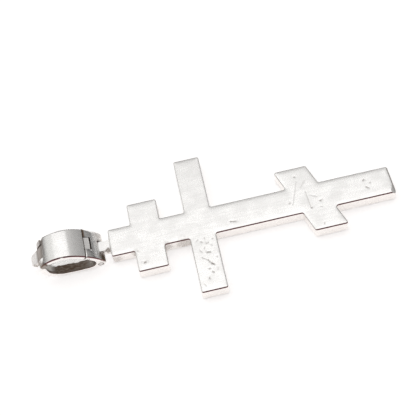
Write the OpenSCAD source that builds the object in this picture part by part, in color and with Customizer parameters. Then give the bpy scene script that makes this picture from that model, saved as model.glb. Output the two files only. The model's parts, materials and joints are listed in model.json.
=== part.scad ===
// Three-bar cross pendant that lies on its front face, with a bail that opens
// X runs along the stem towards the foot, Y across it, Z up from the front face to the back face

/* [Cross plate] */
// Length of the plate from its top end to its foot
plate_l = 45; // [40:0.5:60]
// Thickness of the plate
plate_t = 2.3; // [1.8:0.1:3]
// Width of the stem
stem_w = 4.9; // [4:0.1:6]
// Rounding of the outer corners, seen from above
corner_r = 0.35; // [0.1:0.05:0.8]
// Fillet in the inner corners, seen from above
fillet_r = 0.45; // [0.1:0.05:0.8]

/* [Bars] */
// Middle of the short top bar, from the plate's top end
top_bar_at = 6.05; // [5:0.05:7]
// Width of the short top bar
top_bar_w = 4.8; // [3:0.1:5]
// Length of the short top bar
top_bar_l = 12.2; // [9:0.1:16]
// Middle of the main bar, from the plate's top end
main_bar_at = 14.45; // [13:0.05:16]
// Width of the main bar
main_bar_w = 4.2; // [3:0.1:5]
// Length of the main bar
main_bar_l = 24; // [18:0.1:30]
// Middle of the slanted bar, from the plate's top end
slant_bar_at = 32.15; // [28:0.05:34]
// Width of the slanted bar, measured along the stem
slant_bar_w = 5.3; // [4:0.1:6]
// Length of the slanted bar, measured across the stem
slant_bar_l = 11.8; // [9:0.1:16]
// Angle of the slanted bar
slant_angle = 19.3; // [0:0.1:25]

/* [Lug and cross pin] */
// Distance of the cross pin from the plate's top end
lug_reach = 1.95; // [1.8:0.05:2.6]
// Width of the lug
lug_w = 1.8; // [1.4:0.1:2.2]
// Height of the lug's neck
neck_h = 1.5; // [1:0.1:1.6]
// Radius of the lug's round eye
eye_r = 0.95; // [0.8:0.05:1]
// Fillet at the lug's root
root_r = 0.5; // [0.2:0.05:0.6]
// Radius of the cross pin
cross_pin_r = 0.45; // [0.3:0.05:0.5]
// Running clearance of the lug on the cross pin
lug_clearance = 0.05; // [0.02:0.01:0.08]

/* [Bail outline] */
// Width of the bail, across the stem
bail_w = 5.3; // [4.5:0.1:6]
// Thickness of the bail's wall
wall_t = 0.75; // [0.6:0.05:0.85]
// Radius of the bail's round end at the cross pin
ear_r = 0.85; // [0.7:0.05:0.9]
// Radius of the long arc on the back, from the ears up to the crown
shoulder_r = 9.8; // [9:0.1:10.4]
// Radius of the crown
crown_r = 4.6; // [4.2:0.1:5]
// Radius of the far end
toe_r = 2.6; // [2.4:0.1:2.8]
// Radius of the long arc on the front, which rests on the table
belly_r = 24.5; // [20:0.5:30]
// Direction in which the ears' arc turns into the shoulder
ear_turn = 32; // [28:1:36]
// Direction in which the shoulder turns into the crown
shoulder_turn = 66; // [65:1:70]
// Direction in which the crown turns into the far end
crown_turn = 126; // [120:1:132]
// Radius of the opening's end next to the ears
opening_end_r = 1.05; // [1.05:0.05:1.2]

/* [Hinge and catch] */
// Direction of the hinge pin, seen from the middle of the shoulder's arc
hinge_turn = 49.5; // [48:0.5:51]
// Distance from the hinge pin to the seam
hinge_set = 0.76; // [0.72:0.01:0.85]
// Radius of the knuckle
knuckle_r = 0.52; // [0.45:0.01:0.55]
// Width of the knuckle
knuckle_w = 2.05; // [1.6:0.05:2.4]
// Radius of the hinge pin
hinge_pin_r = 0.22; // [0.15:0.01:0.25]
// Direction of the catch's seam, seen from the middle of the far end's arc
catch_turn = 127; // [124:1:130]
// Width of the catch
catch_w = 2.4; // [1.8:0.1:2.8]
// Thickness of the catch
catch_t = 0.7; // [0.5:0.05:0.75]
// Rounding of the catch's lower corners
catch_corner_r = 0.7; // [0.3:0.05:1]

/* [Gaps and travel] */
// Gap between faces that meet in a seam
seam_gap = 0.07; // [0.05:0.01:0.1]
// Gap beside the lug, the knuckle and the catch
side_gap = 0.08; // [0.05:0.01:0.15]
// Radial clearance of a pin in the bail
pin_gap = 0.015; // [0.01:0.005:0.03]
// How far the bail swings towards the back of the cross
swing_back = 50; // [30:5:55]
// How far the bail swings towards the front of the cross
swing_front = 90; // [60:5:90]

/* [Hidden] */
$fn = 120;
silver = "silver";
worn_silver = "lightgray";

// A length longer than anything that is cut
far = 12;
// How far a cut reaches inwards from the bail's outer surface, and how far outwards
cut_in = 1.6;
cut_out = 3;
// How far round faces stay short of a flat face that they would only just touch
touch_gap = 0.007;
// How far one solid is sunk into another before they are joined, and an arc's cap into its outline
joint_sink = 0.3;
cap_sink = 0.2;
// How far the bridge between the arm and its knuckle lies below the outer surface
bridge_drop = 0.3;

// Direction as a unit vector, a vector's own direction, and a point turned about the origin
function unit(angle) = [cos(angle), sin(angle)];
function heading(v) = atan2(v.y, v.x);
function rotated(p, angle) = [p.x * cos(angle) - p.y * sin(angle), p.x * sin(angle) + p.y * cos(angle)];

// Crossing of two circles that lies to the left of the way from the first centre to the second
function crossing(c1, r1, c2, r2) =
    let (d = norm(c2 - c1), way = (c2 - c1) / d)
    let (along = (r1 * r1 - r2 * r2 + d * d) / (2 * d))
    let (aside = sqrt(r1 * r1 - along * along))
    c1 + along * way + aside * [-way.y, way.x];

// The bail's outline is five arcs that run into each other, seen from the side with the cross pin at [0, 0]
ear_c = [0, 0];
shoulder_c = (ear_r - shoulder_r) * unit(ear_turn);
crown_c = shoulder_c + (shoulder_r - crown_r) * unit(shoulder_turn);
toe_c = crown_c + (crown_r - toe_r) * unit(crown_turn);
belly_c = crossing(toe_c, belly_r - toe_r, ear_c, belly_r - ear_r);

// Directions in which the belly's arc begins and ends
toe_turn = heading(toe_c - belly_c) + 360;
belly_turn = heading(ear_c - belly_c) + 360;

// The opening has the same arcs, one wall further in, and a small arc of its own next to the ears
opening_end_c = crossing(
    belly_c, belly_r - wall_t - opening_end_r,
    shoulder_c, shoulder_r - wall_t - opening_end_r
);
opening_turn = heading(opening_end_c - shoulder_c);
opening_low_turn = heading(opening_end_c - belly_c) + 360;

// The bail turns about the cross pin until its belly touches the table under the plate
pin_z = plate_t / 2;
rest_tilt = 180 - asin((belly_r - pin_z) / norm(belly_c)) - heading(belly_c);

// Hinge pin, which lies one knuckle radius under the outer surface
hinge_c = shoulder_c + (shoulder_r - knuckle_r) * unit(hinge_turn);

// The catch starts a few degrees inside the arm's end, and follows the wall down inside the notch
catch_r = catch_t / 2;
catch_lap = 4;
catch_out_turn = 160;
// Where it bends out of the notch, and where its tip is, from the middle of the far end's arc
catch_bend = [-2.75, 0.05];
catch_tip = [-3.48, -0.85];
function in_wall(angle) = toe_c + (toe_r - wall_t / 2) * unit(angle);
catch_line = [
    in_wall(catch_turn - catch_lap),
    in_wall((catch_turn + catch_out_turn) / 2),
    in_wall(catch_out_turn),
    toe_c + catch_bend,
    toe_c + catch_tip
];
// Direction in which the notch for the catch ends, seen from the middle of the far end's arc
notch_turn = 192;

// The whole part is centred along X, so the plate's top end lies at top_x
bail_reach = lug_reach - (rotated(toe_c + catch_tip, rest_tilt).x - catch_r);
top_x = (bail_reach - plate_l) / 2;
pin_x = top_x - lug_reach;

// One side of the cross's outline from its top end to its foot, where side is 1 or -1
function slanted(at, y) = at - tan(slant_angle) * y;
function cross_side(side) =
    let (stem = side * stem_w / 2, top_end = side * top_bar_l / 2)
    let (main_end = side * main_bar_l / 2, slant_end = side * slant_bar_l / 2)
    let (slant_from = slant_bar_at - slant_bar_w / 2, slant_to = slant_bar_at + slant_bar_w / 2)
    [
        [0, stem],
        [top_bar_at - top_bar_w / 2, stem],
        [top_bar_at - top_bar_w / 2, top_end],
        [top_bar_at + top_bar_w / 2, top_end],
        [top_bar_at + top_bar_w / 2, stem],
        [main_bar_at - main_bar_w / 2, stem],
        [main_bar_at - main_bar_w / 2, main_end],
        [main_bar_at + main_bar_w / 2, main_end],
        [main_bar_at + main_bar_w / 2, stem],
        [slanted(slant_from, stem), stem],
        [slanted(slant_from, slant_end), slant_end],
        [slanted(slant_to, slant_end), slant_end],
        [slanted(slant_to, stem), stem],
        [plate_l, stem]
    ];

function backwards(list) = [for (i = [len(list) - 1 : -1 : 0]) list[i]];
cross_points = concat(cross_side(-1), backwards(cross_side(1)));

// The corners of a counter-clockwise outline: where each is rounded from and to, and its arc's centre
function before(points, i) = points[(i + len(points) - 1) % len(points)];
function after(points, i) = points[(i + 1) % len(points)];
function way(from, to) = (to - from) / norm(to - from);
function turns_out(points, i) =
    cross(way(before(points, i), points[i]), way(points[i], after(points, i))) > 0;
function radius_at(points, i) = turns_out(points, i) ? corner_r : fillet_r;
function half_angle(points, i) =
    acos(way(points[i], before(points, i)) * way(points[i], after(points, i))) / 2;
function cut_back(points, i) = radius_at(points, i) / tan(half_angle(points, i));
function arc_from(points, i) = points[i] + cut_back(points, i) * way(points[i], before(points, i));
function arc_to(points, i) = points[i] + cut_back(points, i) * way(points[i], after(points, i));
function arc_centre(points, i) =
    let (middle = (arc_from(points, i) + arc_to(points, i)) / 2)
    points[i] + radius_at(points, i) / sin(half_angle(points, i)) * way(points[i], middle);

// A flat outline with every corner rounded: straight cuts first, then a disc added or taken away
module rounded_outline(points) {
    corners = [for (i = [0 : len(points) - 1]) i];
    difference() {
        union() {
            polygon([for (i = corners) for (p = [arc_from(points, i), arc_to(points, i)]) p]);
            for (i = corners)
                if (turns_out(points, i))
                    translate(arc_centre(points, i))
                        circle(corner_r);
        }
        for (i = corners)
            if (!turns_out(points, i))
                translate(arc_centre(points, i))
                    circle(fillet_r);
    }
}

// The part of a disc outside the chord between two directions, and a little inside it
module arc_cap(centre, radius, from, to) {
    middle = (from + to) / 2;
    half_chord = cos((to - from) / 2);
    translate(centre)
        intersection() {
            circle(radius);
            polygon([
                radius * unit(from),
                (radius * half_chord - cap_sink) * unit(middle),
                radius * unit(to),
                radius / half_chord * unit(middle)
            ]);
        }
}

// A closed outline of arcs that run into each other, each [centre, radius, from, to]
module arc_outline(arcs) {
    polygon([for (a = arcs) a[0] + a[1] * unit(a[2])]);
    for (a = arcs)
        arc_cap(a[0], a[1], a[2], a[3]);
}

module bail_outline() {
    arc_outline([
        [ear_c, ear_r, belly_turn - 360, ear_turn],
        [shoulder_c, shoulder_r, ear_turn, shoulder_turn],
        [crown_c, crown_r, shoulder_turn, crown_turn],
        [toe_c, toe_r, crown_turn, toe_turn],
        [belly_c, belly_r, toe_turn, belly_turn]
    ]);
}

module bail_opening() {
    arc_outline([
        [opening_end_c, opening_end_r, opening_low_turn - 360, opening_turn],
        [shoulder_c, shoulder_r - wall_t, opening_turn, shoulder_turn],
        [crown_c, crown_r - wall_t, shoulder_turn, crown_turn],
        [toe_c, toe_r - wall_t, crown_turn, toe_turn],
        [belly_c, belly_r - wall_t, toe_turn, opening_low_turn]
    ]);
}

module bail_ring() {
    difference() {
        bail_outline();
        bail_opening();
    }
}

// Flat shapes drawn round the hinge pin: Y points outwards, the arm lies towards -X
module at_hinge() {
    translate(hinge_c)
        rotate(hinge_turn - 90)
            children();
}

// Points given from the hinge pin, or from the far end's middle with Y outwards at the catch's seam
function from_hinge(p) = hinge_c + rotated(p, hinge_turn - 90);
function from_catch(p) = toe_c + rotated(p, catch_turn - 90);

// The stretch of the ring between the hinge's seam and the catch's seam, made longer by gap at each end
module arm_stretch(gap) {
    polygon([
        from_hinge([gap - hinge_set, knuckle_r - cut_in]),
        from_hinge([gap - hinge_set, knuckle_r + cut_out]),
        from_catch([-gap, toe_r + cut_out]),
        from_catch([-gap, toe_r - cut_in])
    ]);
}

// A flat bar with round ends between two points
module round_bar(from, to, radius) {
    side = radius * unit(heading(to - from) + 90);
    translate(from)
        circle(radius);
    translate(to)
        circle(radius);
    polygon([from + side, from - side, to - side, to + side]);
}

module catch_profile() {
    for (i = [1 : len(catch_line) - 1])
        round_bar(catch_line[i - 1], catch_line[i], catch_r);
}

// What the lug sweeps, seen from the bail, while the bail swings from one limit to the other
module lug_sweep() {
    reach = neck_h / 2 + side_gap;
    back_edge = reach * unit(swing_back + 90);
    front_edge = reach * unit(-swing_front - 90);
    circle(eye_r + side_gap);
    polygon([
        back_edge,
        back_edge + far * unit(swing_back),
        [far, far],
        [far, -far],
        front_edge + far * unit(-swing_front),
        front_edge
    ]);
}

// A flat side view made into a solid of the given width, and put where the bail lies
module across(width) {
    rotate([90, 0, 0])
        linear_extrude(width, center = true)
            children();
}

module as_bail_lies() {
    translate([pin_x, 0, pin_z])
        rotate([0, -rest_tilt, 0])
            children();
}

module pin_at(centre, radius, width) {
    translate([centre.x, 0, centre.y])
        rotate([90, 0, 0])
            cylinder(h = width, r = radius, center = true);
}

module plate() {
    translate([top_x, 0, 0])
        linear_extrude(plate_t)
            rounded_outline(cross_points);
}

// The lug's neck from above, widening into the plate
module neck_outline() {
    difference() {
        union() {
            translate([-lug_reach, -lug_w / 2])
                square([lug_reach + joint_sink, lug_w]);
            for (side = [-1, 1])
                polygon([
                    [-root_r, 0],
                    [-root_r, side * lug_w / 2],
                    [0, side * (lug_w / 2 + root_r)],
                    [joint_sink, side * (lug_w / 2 + root_r)],
                    [joint_sink, 0]
                ]);
        }
        for (side = [-1, 1])
            translate([-root_r, side * (lug_w / 2 + root_r)])
                circle(root_r);
    }
}

module cross_with_lug() {
    color(silver)
        difference() {
            union() {
                plate();
                translate([top_x, 0, pin_z - neck_h / 2])
                    linear_extrude(neck_h)
                        neck_outline();
                translate([pin_x, 0, pin_z])
                    pin_at([0, 0], eye_r, lug_w);
            }
            translate([pin_x, 0, pin_z])
                pin_at([0, 0], cross_pin_r + lug_clearance, 2 * lug_w);
        }
}

module bail_hoop() {
    boss_r = knuckle_r - side_gap / 2;
    seam_round_r = hinge_set - seam_gap - touch_gap;
    window_to = knuckle_r + side_gap + pin_gap;
    color(silver)
        as_bail_lies()
            difference() {
                across(bail_w)
                    difference() {
                        union() {
                            bail_ring();
                            at_hinge()
                                circle(boss_r);
                        }
                        arm_stretch(seam_gap);
                        // The shoulder at the seam is rounded so that the arm's end passes over it
                        at_hinge()
                            difference() {
                                translate([-hinge_set, 0])
                                    square([hinge_set, cut_out]);
                                circle(seam_round_r);
                            }
                    }
                // Window for the knuckle
                across(knuckle_w + 2 * side_gap)
                    at_hinge()
                        translate([-hinge_set, -cut_in])
                            square([hinge_set + window_to, 2 * cut_in]);
                // Slot for the lug
                across(lug_w + 2 * side_gap)
                    lug_sweep();
                // Notch for the catch
                across(catch_w + 2 * side_gap)
                    translate(toe_c)
                        polygon([[0, 0], far * unit(catch_turn), far * unit(notch_turn)]);
                pin_at(ear_c, cross_pin_r + pin_gap, 2 * bail_w);
                pin_at(hinge_c, hinge_pin_r + pin_gap, 2 * bail_w);
            }
}

// The catch's outline seen from the far end, with its lower corners rounded
module catch_front() {
    half = catch_w / 2 - catch_corner_r;
    low = toe_c.y + catch_tip.y - catch_r;
    translate([-catch_w / 2, low + catch_corner_r])
        square([catch_w, far]);
    translate([-half, low])
        square([2 * half, far]);
    for (side = [-1, 1])
        translate([side * half, low + catch_corner_r])
            circle(catch_corner_r);
}

module bail_arm() {
    color(worn_silver)
        as_bail_lies()
            difference() {
                union() {
                    across(bail_w)
                        intersection() {
                            bail_ring();
                            arm_stretch(0);
                        }
                    across(knuckle_w) {
                        at_hinge()
                            circle(knuckle_r);
                        intersection() {
                            bail_ring();
                            at_hinge()
                                translate([-hinge_set - joint_sink, -cut_in])
                                    square([hinge_set + joint_sink, cut_in + knuckle_r - bridge_drop]);
                        }
                    }
                    intersection() {
                        across(catch_w)
                            catch_profile();
                        translate([-far, 0, 0])
                            rotate([90, 0, 90])
                                linear_extrude(far)
                                    catch_front();
                    }
                }
                pin_at(hinge_c, hinge_pin_r + pin_gap, 2 * bail_w);
            }
}

module cross_pin() {
    color(worn_silver)
        as_bail_lies()
            pin_at(ear_c, cross_pin_r, bail_w);
}

module hinge_pin() {
    color(worn_silver)
        as_bail_lies()
            pin_at(hinge_c, hinge_pin_r, bail_w);
}

cross_with_lug();  // cross
bail_hoop();
bail_arm();
cross_pin();
hinge_pin();
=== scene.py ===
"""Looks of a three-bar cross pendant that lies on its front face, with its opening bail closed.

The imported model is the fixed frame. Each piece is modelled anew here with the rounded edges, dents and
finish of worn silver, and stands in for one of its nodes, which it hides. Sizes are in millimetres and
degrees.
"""
import json
import logging
import math
from collections.abc import Callable
from dataclasses import astuple, dataclass, field, replace
from enum import Enum

import bmesh
import bpy
import numpy as np
from mathutils import Matrix, Vector, geometry, noise


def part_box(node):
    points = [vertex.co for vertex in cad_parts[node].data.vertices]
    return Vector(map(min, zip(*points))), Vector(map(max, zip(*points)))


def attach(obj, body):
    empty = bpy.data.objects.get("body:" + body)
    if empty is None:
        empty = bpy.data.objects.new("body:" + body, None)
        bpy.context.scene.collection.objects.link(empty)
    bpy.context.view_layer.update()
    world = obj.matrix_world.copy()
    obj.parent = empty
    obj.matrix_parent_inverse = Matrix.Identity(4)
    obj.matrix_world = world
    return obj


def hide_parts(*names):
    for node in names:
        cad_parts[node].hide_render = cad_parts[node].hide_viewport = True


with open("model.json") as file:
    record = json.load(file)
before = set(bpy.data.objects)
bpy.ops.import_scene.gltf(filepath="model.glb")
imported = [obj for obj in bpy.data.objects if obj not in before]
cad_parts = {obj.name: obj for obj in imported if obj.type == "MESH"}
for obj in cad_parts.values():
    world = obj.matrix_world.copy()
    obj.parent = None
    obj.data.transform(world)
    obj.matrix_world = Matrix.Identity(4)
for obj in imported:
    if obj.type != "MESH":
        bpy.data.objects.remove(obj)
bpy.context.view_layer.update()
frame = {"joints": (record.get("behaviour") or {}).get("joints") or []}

MM = 0.001
# Corners closer than the first two are merged, and faces that turn by less than the third are joined
SAME_PLACE = 1e-4
NEARLY_SAME_PLACE = 0.012
NEARLY_FLAT = 0.05
# How far the ragged side of a scratch can reach, as a share of its width
SCRATCH_REACH = 1.6
LOG = logging.getLogger("pendant")
Socket = bpy.types.NodeSocket
Given = Socket | float | str | tuple


# Flat geometry

def unit(angle: float) -> np.ndarray:
    """Unit vector that points in a direction given in degrees."""
    return np.array([math.cos(math.radians(angle)), math.sin(math.radians(angle))])


def heading(way: np.ndarray) -> float:
    """Direction of a flat vector, in degrees."""
    return math.degrees(math.atan2(way[1], way[0]))


def turned(points: np.ndarray, angle: float) -> np.ndarray:
    """Points turned about the origin by an angle in degrees."""
    return points[..., :1] * unit(angle) + points[..., 1:2] * unit(angle + 90)


def headings(points: np.ndarray) -> np.ndarray:
    """Direction in which each flat point lies from the origin, in degrees."""
    return np.degrees(np.arctan2(points[:, 1], points[:, 0]))


def stood_up(points: np.ndarray, y: float) -> np.ndarray:
    """Points of a side view, placed at a distance across it."""
    return np.column_stack([points[:, 0], np.full(len(points), y), points[:, 1]])


def between(values: np.ndarray, low: float, high: float) -> np.ndarray:
    """Tell which values lie between two others."""
    return (values > low) & (values < high)


def fade_in(values: np.ndarray, start: float, over: float) -> np.ndarray:
    """Share from 0 to 1 by which each value has gone past a start, over a distance."""
    return np.clip((values - start) / over, 0, 1)


def crossing(centre_1: np.ndarray, r_1: float, centre_2: np.ndarray, r_2: float) -> np.ndarray:
    """Find where two circles cross, to the left of the way from the first centre to the second.

    Args:
        centre_1: centre of the first circle.
        r_1: its radius.
        centre_2: centre of the second circle.
        r_2: its radius.

    Returns:
        The crossing point.
    """
    apart = float(np.linalg.norm(centre_2 - centre_1))
    way = (centre_2 - centre_1) / apart
    along = (r_1 ** 2 - r_2 ** 2 + apart ** 2) / (2 * apart)
    aside = math.sqrt(r_1 ** 2 - along ** 2)
    return centre_1 + along * way + aside * np.array([-way[1], way[0]])


@dataclass(frozen=True)
class Arc:
    """A round stretch of an outline; a hollow one has the metal outside its circle."""

    centre: np.ndarray
    radius: float
    start: float
    end: float
    hollow: bool = False

    def trace(self, step: float) -> tuple[np.ndarray, np.ndarray]:
        """Walk along the arc.

        Args:
            step: longest distance between two points.

        Returns:
            The points, and at each point the direction that leads out of the metal.
        """
        length = math.radians(abs(self.end - self.start)) * self.radius
        turns = np.linspace(self.start, self.end, max(4, math.ceil(length / step)) + 1)
        out = np.array([unit(turn) for turn in turns])
        return self.centre + self.radius * out, -out if self.hollow else out


@dataclass(frozen=True)
class Outline:
    """A closed flat outline: its points, and at each point the direction that leads out of the metal."""

    points: np.ndarray
    outward: np.ndarray

    @classmethod
    def of_arcs(cls, arcs: list[Arc], step: float) -> "Outline":
        """Join arcs into an outline, with straight stretches where two arcs don't meet.

        Args:
            arcs: the arcs in their order along the outline.
            step: longest distance between two points.

        Returns:
            The outline, with no point twice.
        """
        points, outward = [], []
        for arc, following in zip(arcs, arcs[1:] + arcs[:1]):
            here, out = arc.trace(step)
            goal = following.trace(step)[0][0]
            gap = float(np.linalg.norm(goal - here[-1]))
            pieces = math.ceil(gap / step) if gap > step / 100 else 0
            points.extend(here if pieces else here[:-1])
            outward.extend(out if pieces else out[:-1])
            for share in np.arange(1, pieces) / max(pieces, 1):
                points.append(here[-1] + share * (goal - here[-1]))
                outward.append(out[-1])
        return cls(np.array(points), np.array(outward))

    @classmethod
    def of_corners(
        cls, corners: list[tuple[float, float]], outer_r: float, inner_r: float, step: float
    ) -> "Outline":
        """Round the corners of an outline that runs anticlockwise.

        Args:
            corners: the sharp corners.
            outer_r: radius of the corners that stick out.
            inner_r: radius of the corners that go in.
            step: longest distance between two points.

        Returns:
            The rounded outline.
        """
        arcs = []
        for before, here, after in zip(corners[-1:] + corners[:-1], corners, corners[1:] + corners[:1]):
            before, here, after = (np.array(p, float) for p in (before, here, after))
            back = (before - here) / np.linalg.norm(before - here)
            on = (after - here) / np.linalg.norm(after - here)
            sticks_out = back[1] * on[0] - back[0] * on[1] > 0
            radius = outer_r if sticks_out else inner_r
            half = math.acos(float(back @ on)) / 2
            middle = (back + on) / np.linalg.norm(back + on)
            centre = here + radius / math.sin(half) * middle
            start = heading(here + radius / math.tan(half) * back - centre)
            sweep = (180 - math.degrees(2 * half)) * (1 if sticks_out else -1)
            arcs.append(Arc(centre, radius, start, start + sweep, not sticks_out))
        return cls.of_arcs(arcs, step)

    def inset(self, distance: float) -> np.ndarray:
        """Points of the outline moved into the metal."""
        return self.points - distance * self.outward

    def distance(self, points: np.ndarray) -> np.ndarray:
        """Measure how far inside the outline each point lies.

        Args:
            points: the points to measure.

        Returns:
            The distance to the outline, negative outside it.
        """
        start, end = self.points, np.roll(self.points, -1, axis=0)
        way = end - start
        to_point = points[:, None, :] - start[None, :, :]
        share = np.clip((to_point * way).sum(2) / (way ** 2).sum(1), 0, 1)
        near = np.linalg.norm(to_point - share[..., None] * way, axis=2).min(1)
        straddles = (start[:, 1] > points[:, None, 1]) != (end[:, 1] > points[:, None, 1])
        rise = np.where(way[:, 1] == 0, 1, way[:, 1])
        crosses = start[:, 0] + (points[:, None, 1] - start[:, 1]) * way[:, 0] / rise
        inside = (straddles & (points[:, None, 0] < crosses)).sum(1) % 2 == 1
        return np.where(inside, near, -near)


# Meshes

class Cut(Enum):
    """What a second solid does to the first one."""

    TAKE_AWAY = "DIFFERENCE"
    JOIN = "UNION"
    KEEP_COMMON = "INTERSECT"


def in_scene(name: str, data: bpy.types.ID) -> bpy.types.Object:
    """Make an object and link it to the scene.

    Args:
        name: the object's name.
        data: its mesh, camera or lamp.

    Returns:
        The object.
    """
    made = bpy.data.objects.new(name, data)
    bpy.context.scene.collection.objects.link(made)
    return made


@dataclass
class Shell:
    """A closed surface that is being built: corners in millimetres, and faces."""

    corners: list[tuple[float, ...]] = field(default_factory=list)
    faces: list[tuple[int, ...]] = field(default_factory=list)

    def ring(self, points: np.ndarray | list[tuple[float, ...]]) -> list[int]:
        """Add a loop of points.

        Args:
            points: the points in their order.

        Returns:
            The numbers of the new corners.
        """
        first = len(self.corners)
        self.corners.extend(tuple(p) for p in points)
        return list(range(first, len(self.corners)))

    def skin(self, rings: list[list[int]]) -> None:
        """Join each loop to the next one with a band of quads.

        Args:
            rings: the loops, of equally many points.
        """
        for low, high in zip(rings, rings[1:]):
            for i, j in zip(range(len(low)), [*range(1, len(low)), 0]):
                self.faces.append((low[i], low[j], high[j], high[i]))

    def cap(self, rings: list[list[int]]) -> None:
        """Close each loop with one face."""
        self.faces.extend(tuple(ring) for ring in rings)

    def fan(self, pole: np.ndarray, ring: list[int]) -> None:
        """Close a loop with triangles that meet in one point.

        Args:
            pole: the point.
            ring: the loop.
        """
        (tip,) = self.ring([pole])
        for i, j in zip(ring, ring[1:] + ring[:1]):
            self.faces.append((tip, i, j))

    def finish(self, name: str) -> bpy.types.Object:
        """Turn the surface into an object.

        Args:
            name: the object's name.

        Returns:
            The object, in metres, with its faces outwards.
        """
        mesh = bpy.data.meshes.new(name)
        mesh.from_pydata([tuple(MM * c for c in corner) for corner in self.corners], [], self.faces)
        made = in_scene(name, mesh)
        face_outwards(made)
        return made


def face_outwards(piece: bpy.types.Object) -> None:
    """Merge a piece's doubles and turn its faces outwards.

    Args:
        piece: the piece, as a closed surface.
    """
    soup = bmesh.new()
    soup.from_mesh(piece.data)
    bmesh.ops.remove_doubles(soup, verts=soup.verts, dist=SAME_PLACE * MM)
    bmesh.ops.recalc_face_normals(soup, faces=soup.faces)
    soup.to_mesh(piece.data)
    soup.free()


def shift(piece: bpy.types.Object, place: np.ndarray | tuple[float, float]) -> None:
    """Move a piece's mesh along X and Z, by millimetres."""
    piece.data.transform(Matrix.Translation((place[0] * MM, 0, place[1] * MM)))


def bake_modifiers(piece: bpy.types.Object) -> None:
    """Replace a piece's mesh by what its modifiers make of it, and drop the modifiers.

    Args:
        piece: the piece.
    """
    graph = bpy.context.evaluated_depsgraph_get()
    done = bpy.data.meshes.new_from_object(piece.evaluated_get(graph), depsgraph=graph)
    piece.modifiers.clear()
    piece.data = done


def combine(body: bpy.types.Object, tool: bpy.types.Object, how: Cut) -> None:
    """Join a second solid to a piece or cut the piece with it, and delete the second solid.

    Args:
        body: the piece that changes.
        tool: the solid that is used up.
        how: what the solid does to the piece.
    """
    step = body.modifiers.new(how.name, "BOOLEAN")
    step.operation = how.value
    step.object = tool
    step.solver = "MANIFOLD"
    bake_modifiers(body)
    bpy.data.objects.remove(tool)


def soften_edges(
    piece: bpy.types.Object, width: float = 0.05, segments: int = 2, over: float = 32
) -> None:
    """Round the sharp edges of a piece.

    Args:
        piece: the piece.
        width: width of the rounding.
        segments: faces across the rounding.
        over: edges that turn by more than this many degrees are rounded.
    """
    flat = math.radians(NEARLY_FLAT)
    soup = bmesh.new()
    soup.from_mesh(piece.data)
    bmesh.ops.remove_doubles(soup, verts=soup.verts, dist=NEARLY_SAME_PLACE * MM)
    bmesh.ops.dissolve_limit(soup, angle_limit=flat, verts=soup.verts, edges=soup.edges)
    soup.to_mesh(piece.data)
    soup.free()
    bevel = piece.modifiers.new("rounding", "BEVEL")
    bevel.width = width * MM
    bevel.segments = segments
    bevel.limit_method = "ANGLE"
    bevel.angle_limit = math.radians(over)
    bevel.use_clamp_overlap = True
    bevel.miter_outer = "MITER_ARC"
    bake_modifiers(piece)


def dress(piece: bpy.types.Object, finish: bpy.types.Material) -> None:
    """Shade a piece smoothly, with its large faces setting the direction, and give it its finish.

    Args:
        piece: the piece.
        finish: its one material.
    """
    piece.data.shade_smooth()
    weigh = piece.modifiers.new("shading", "WEIGHTED_NORMAL")
    weigh.mode = "FACE_AREA_WITH_ANGLE"
    bake_modifiers(piece)
    piece.data.materials.clear()
    piece.data.materials.append(finish)


def quarter_round(radius: float, steps: int) -> list[tuple[float, float]]:
    """Follow a quarter circle from a flat face to the side face.

    Args:
        radius: radius of the rounding.
        steps: faces across it.

    Returns:
        For each ring, how far it is set in from the side, and how far below the flat face it lies.
    """
    turns = np.linspace(0, math.pi / 2, steps + 1)
    return [(radius * (1 - math.sin(t)), radius * (1 - math.cos(t))) for t in turns]


def lathe(name: str, profile: list[tuple[float, float]], steps: int = 48) -> bpy.types.Object:
    """Turn a solid about the Y axis.

    Args:
        name: the object's name.
        profile: places along Y and radii there, from one end's edge to the other's.
        steps: faces round the solid.

    Returns:
        The solid, closed at both ends.
    """
    shell = Shell()
    around = disc(np.zeros(2), 1.0, steps)
    rings = [shell.ring(stood_up(radius * around, y)) for y, radius in profile]
    shell.skin(rings)
    for (y, _), ring in ((profile[0], rings[0]), (profile[-1], rings[-1])):
        shell.fan(np.array([0, y, 0]), ring)
    return shell.finish(name)


def round_pin(
    name: str, radius: float, width: float, rounding: float, dome: float = 0.0
) -> bpy.types.Object:
    """Turn a pin about the Y axis, with rounded rims and ends that may bulge.

    Args:
        name: the object's name.
        radius: the pin's radius.
        width: the pin's length between its rims.
        rounding: radius of the rims.
        dome: how far each end bulges past its rim.

    Returns:
        The pin, with its middle at the origin.
    """
    rims = [(radius - inset, width / 2 - below) for inset, below in quarter_round(rounding, 4)]
    crown = [(share * (radius - rounding), dome * (1 - share ** 2)) for share in (0.15, 0.4, 0.7)]
    end = [(width / 2 + rise, r) for r, rise in crown] + [(y, r) for r, y in rims]
    return lathe(name, [(-y, r) for y, r in end] + list(reversed(end)))


def slab(name: str, loops: list[np.ndarray]) -> bpy.types.Object:
    """Make the solid between two loops.

    Args:
        name: the object's name.
        loops: both loops, of equally many points.

    Returns:
        The solid.
    """
    shell = Shell()
    sides = [shell.ring(loop) for loop in loops]
    shell.skin(sides)
    shell.cap(sides)
    return shell.finish(name)


def prism(name: str, points: np.ndarray, width: float) -> bpy.types.Object:
    """Extrude a side view, X and Z, by half a width to each side."""
    return slab(name, [stood_up(points, y) for y in (-width / 2, width / 2)])


def disc(centre: np.ndarray, radius: float, steps: int = 64) -> np.ndarray:
    """Points round a circle in a side view."""
    return centre + radius * np.array([unit(turn) for turn in np.linspace(0, 360, steps, endpoint=False)])


def block_above(height: float, half: float, tall: float = 1.0) -> np.ndarray:
    """Side view of what a file takes away above a height."""
    return np.array([(-half, height), (half, height), (half, height + tall), (-half, height + tall)])


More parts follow.
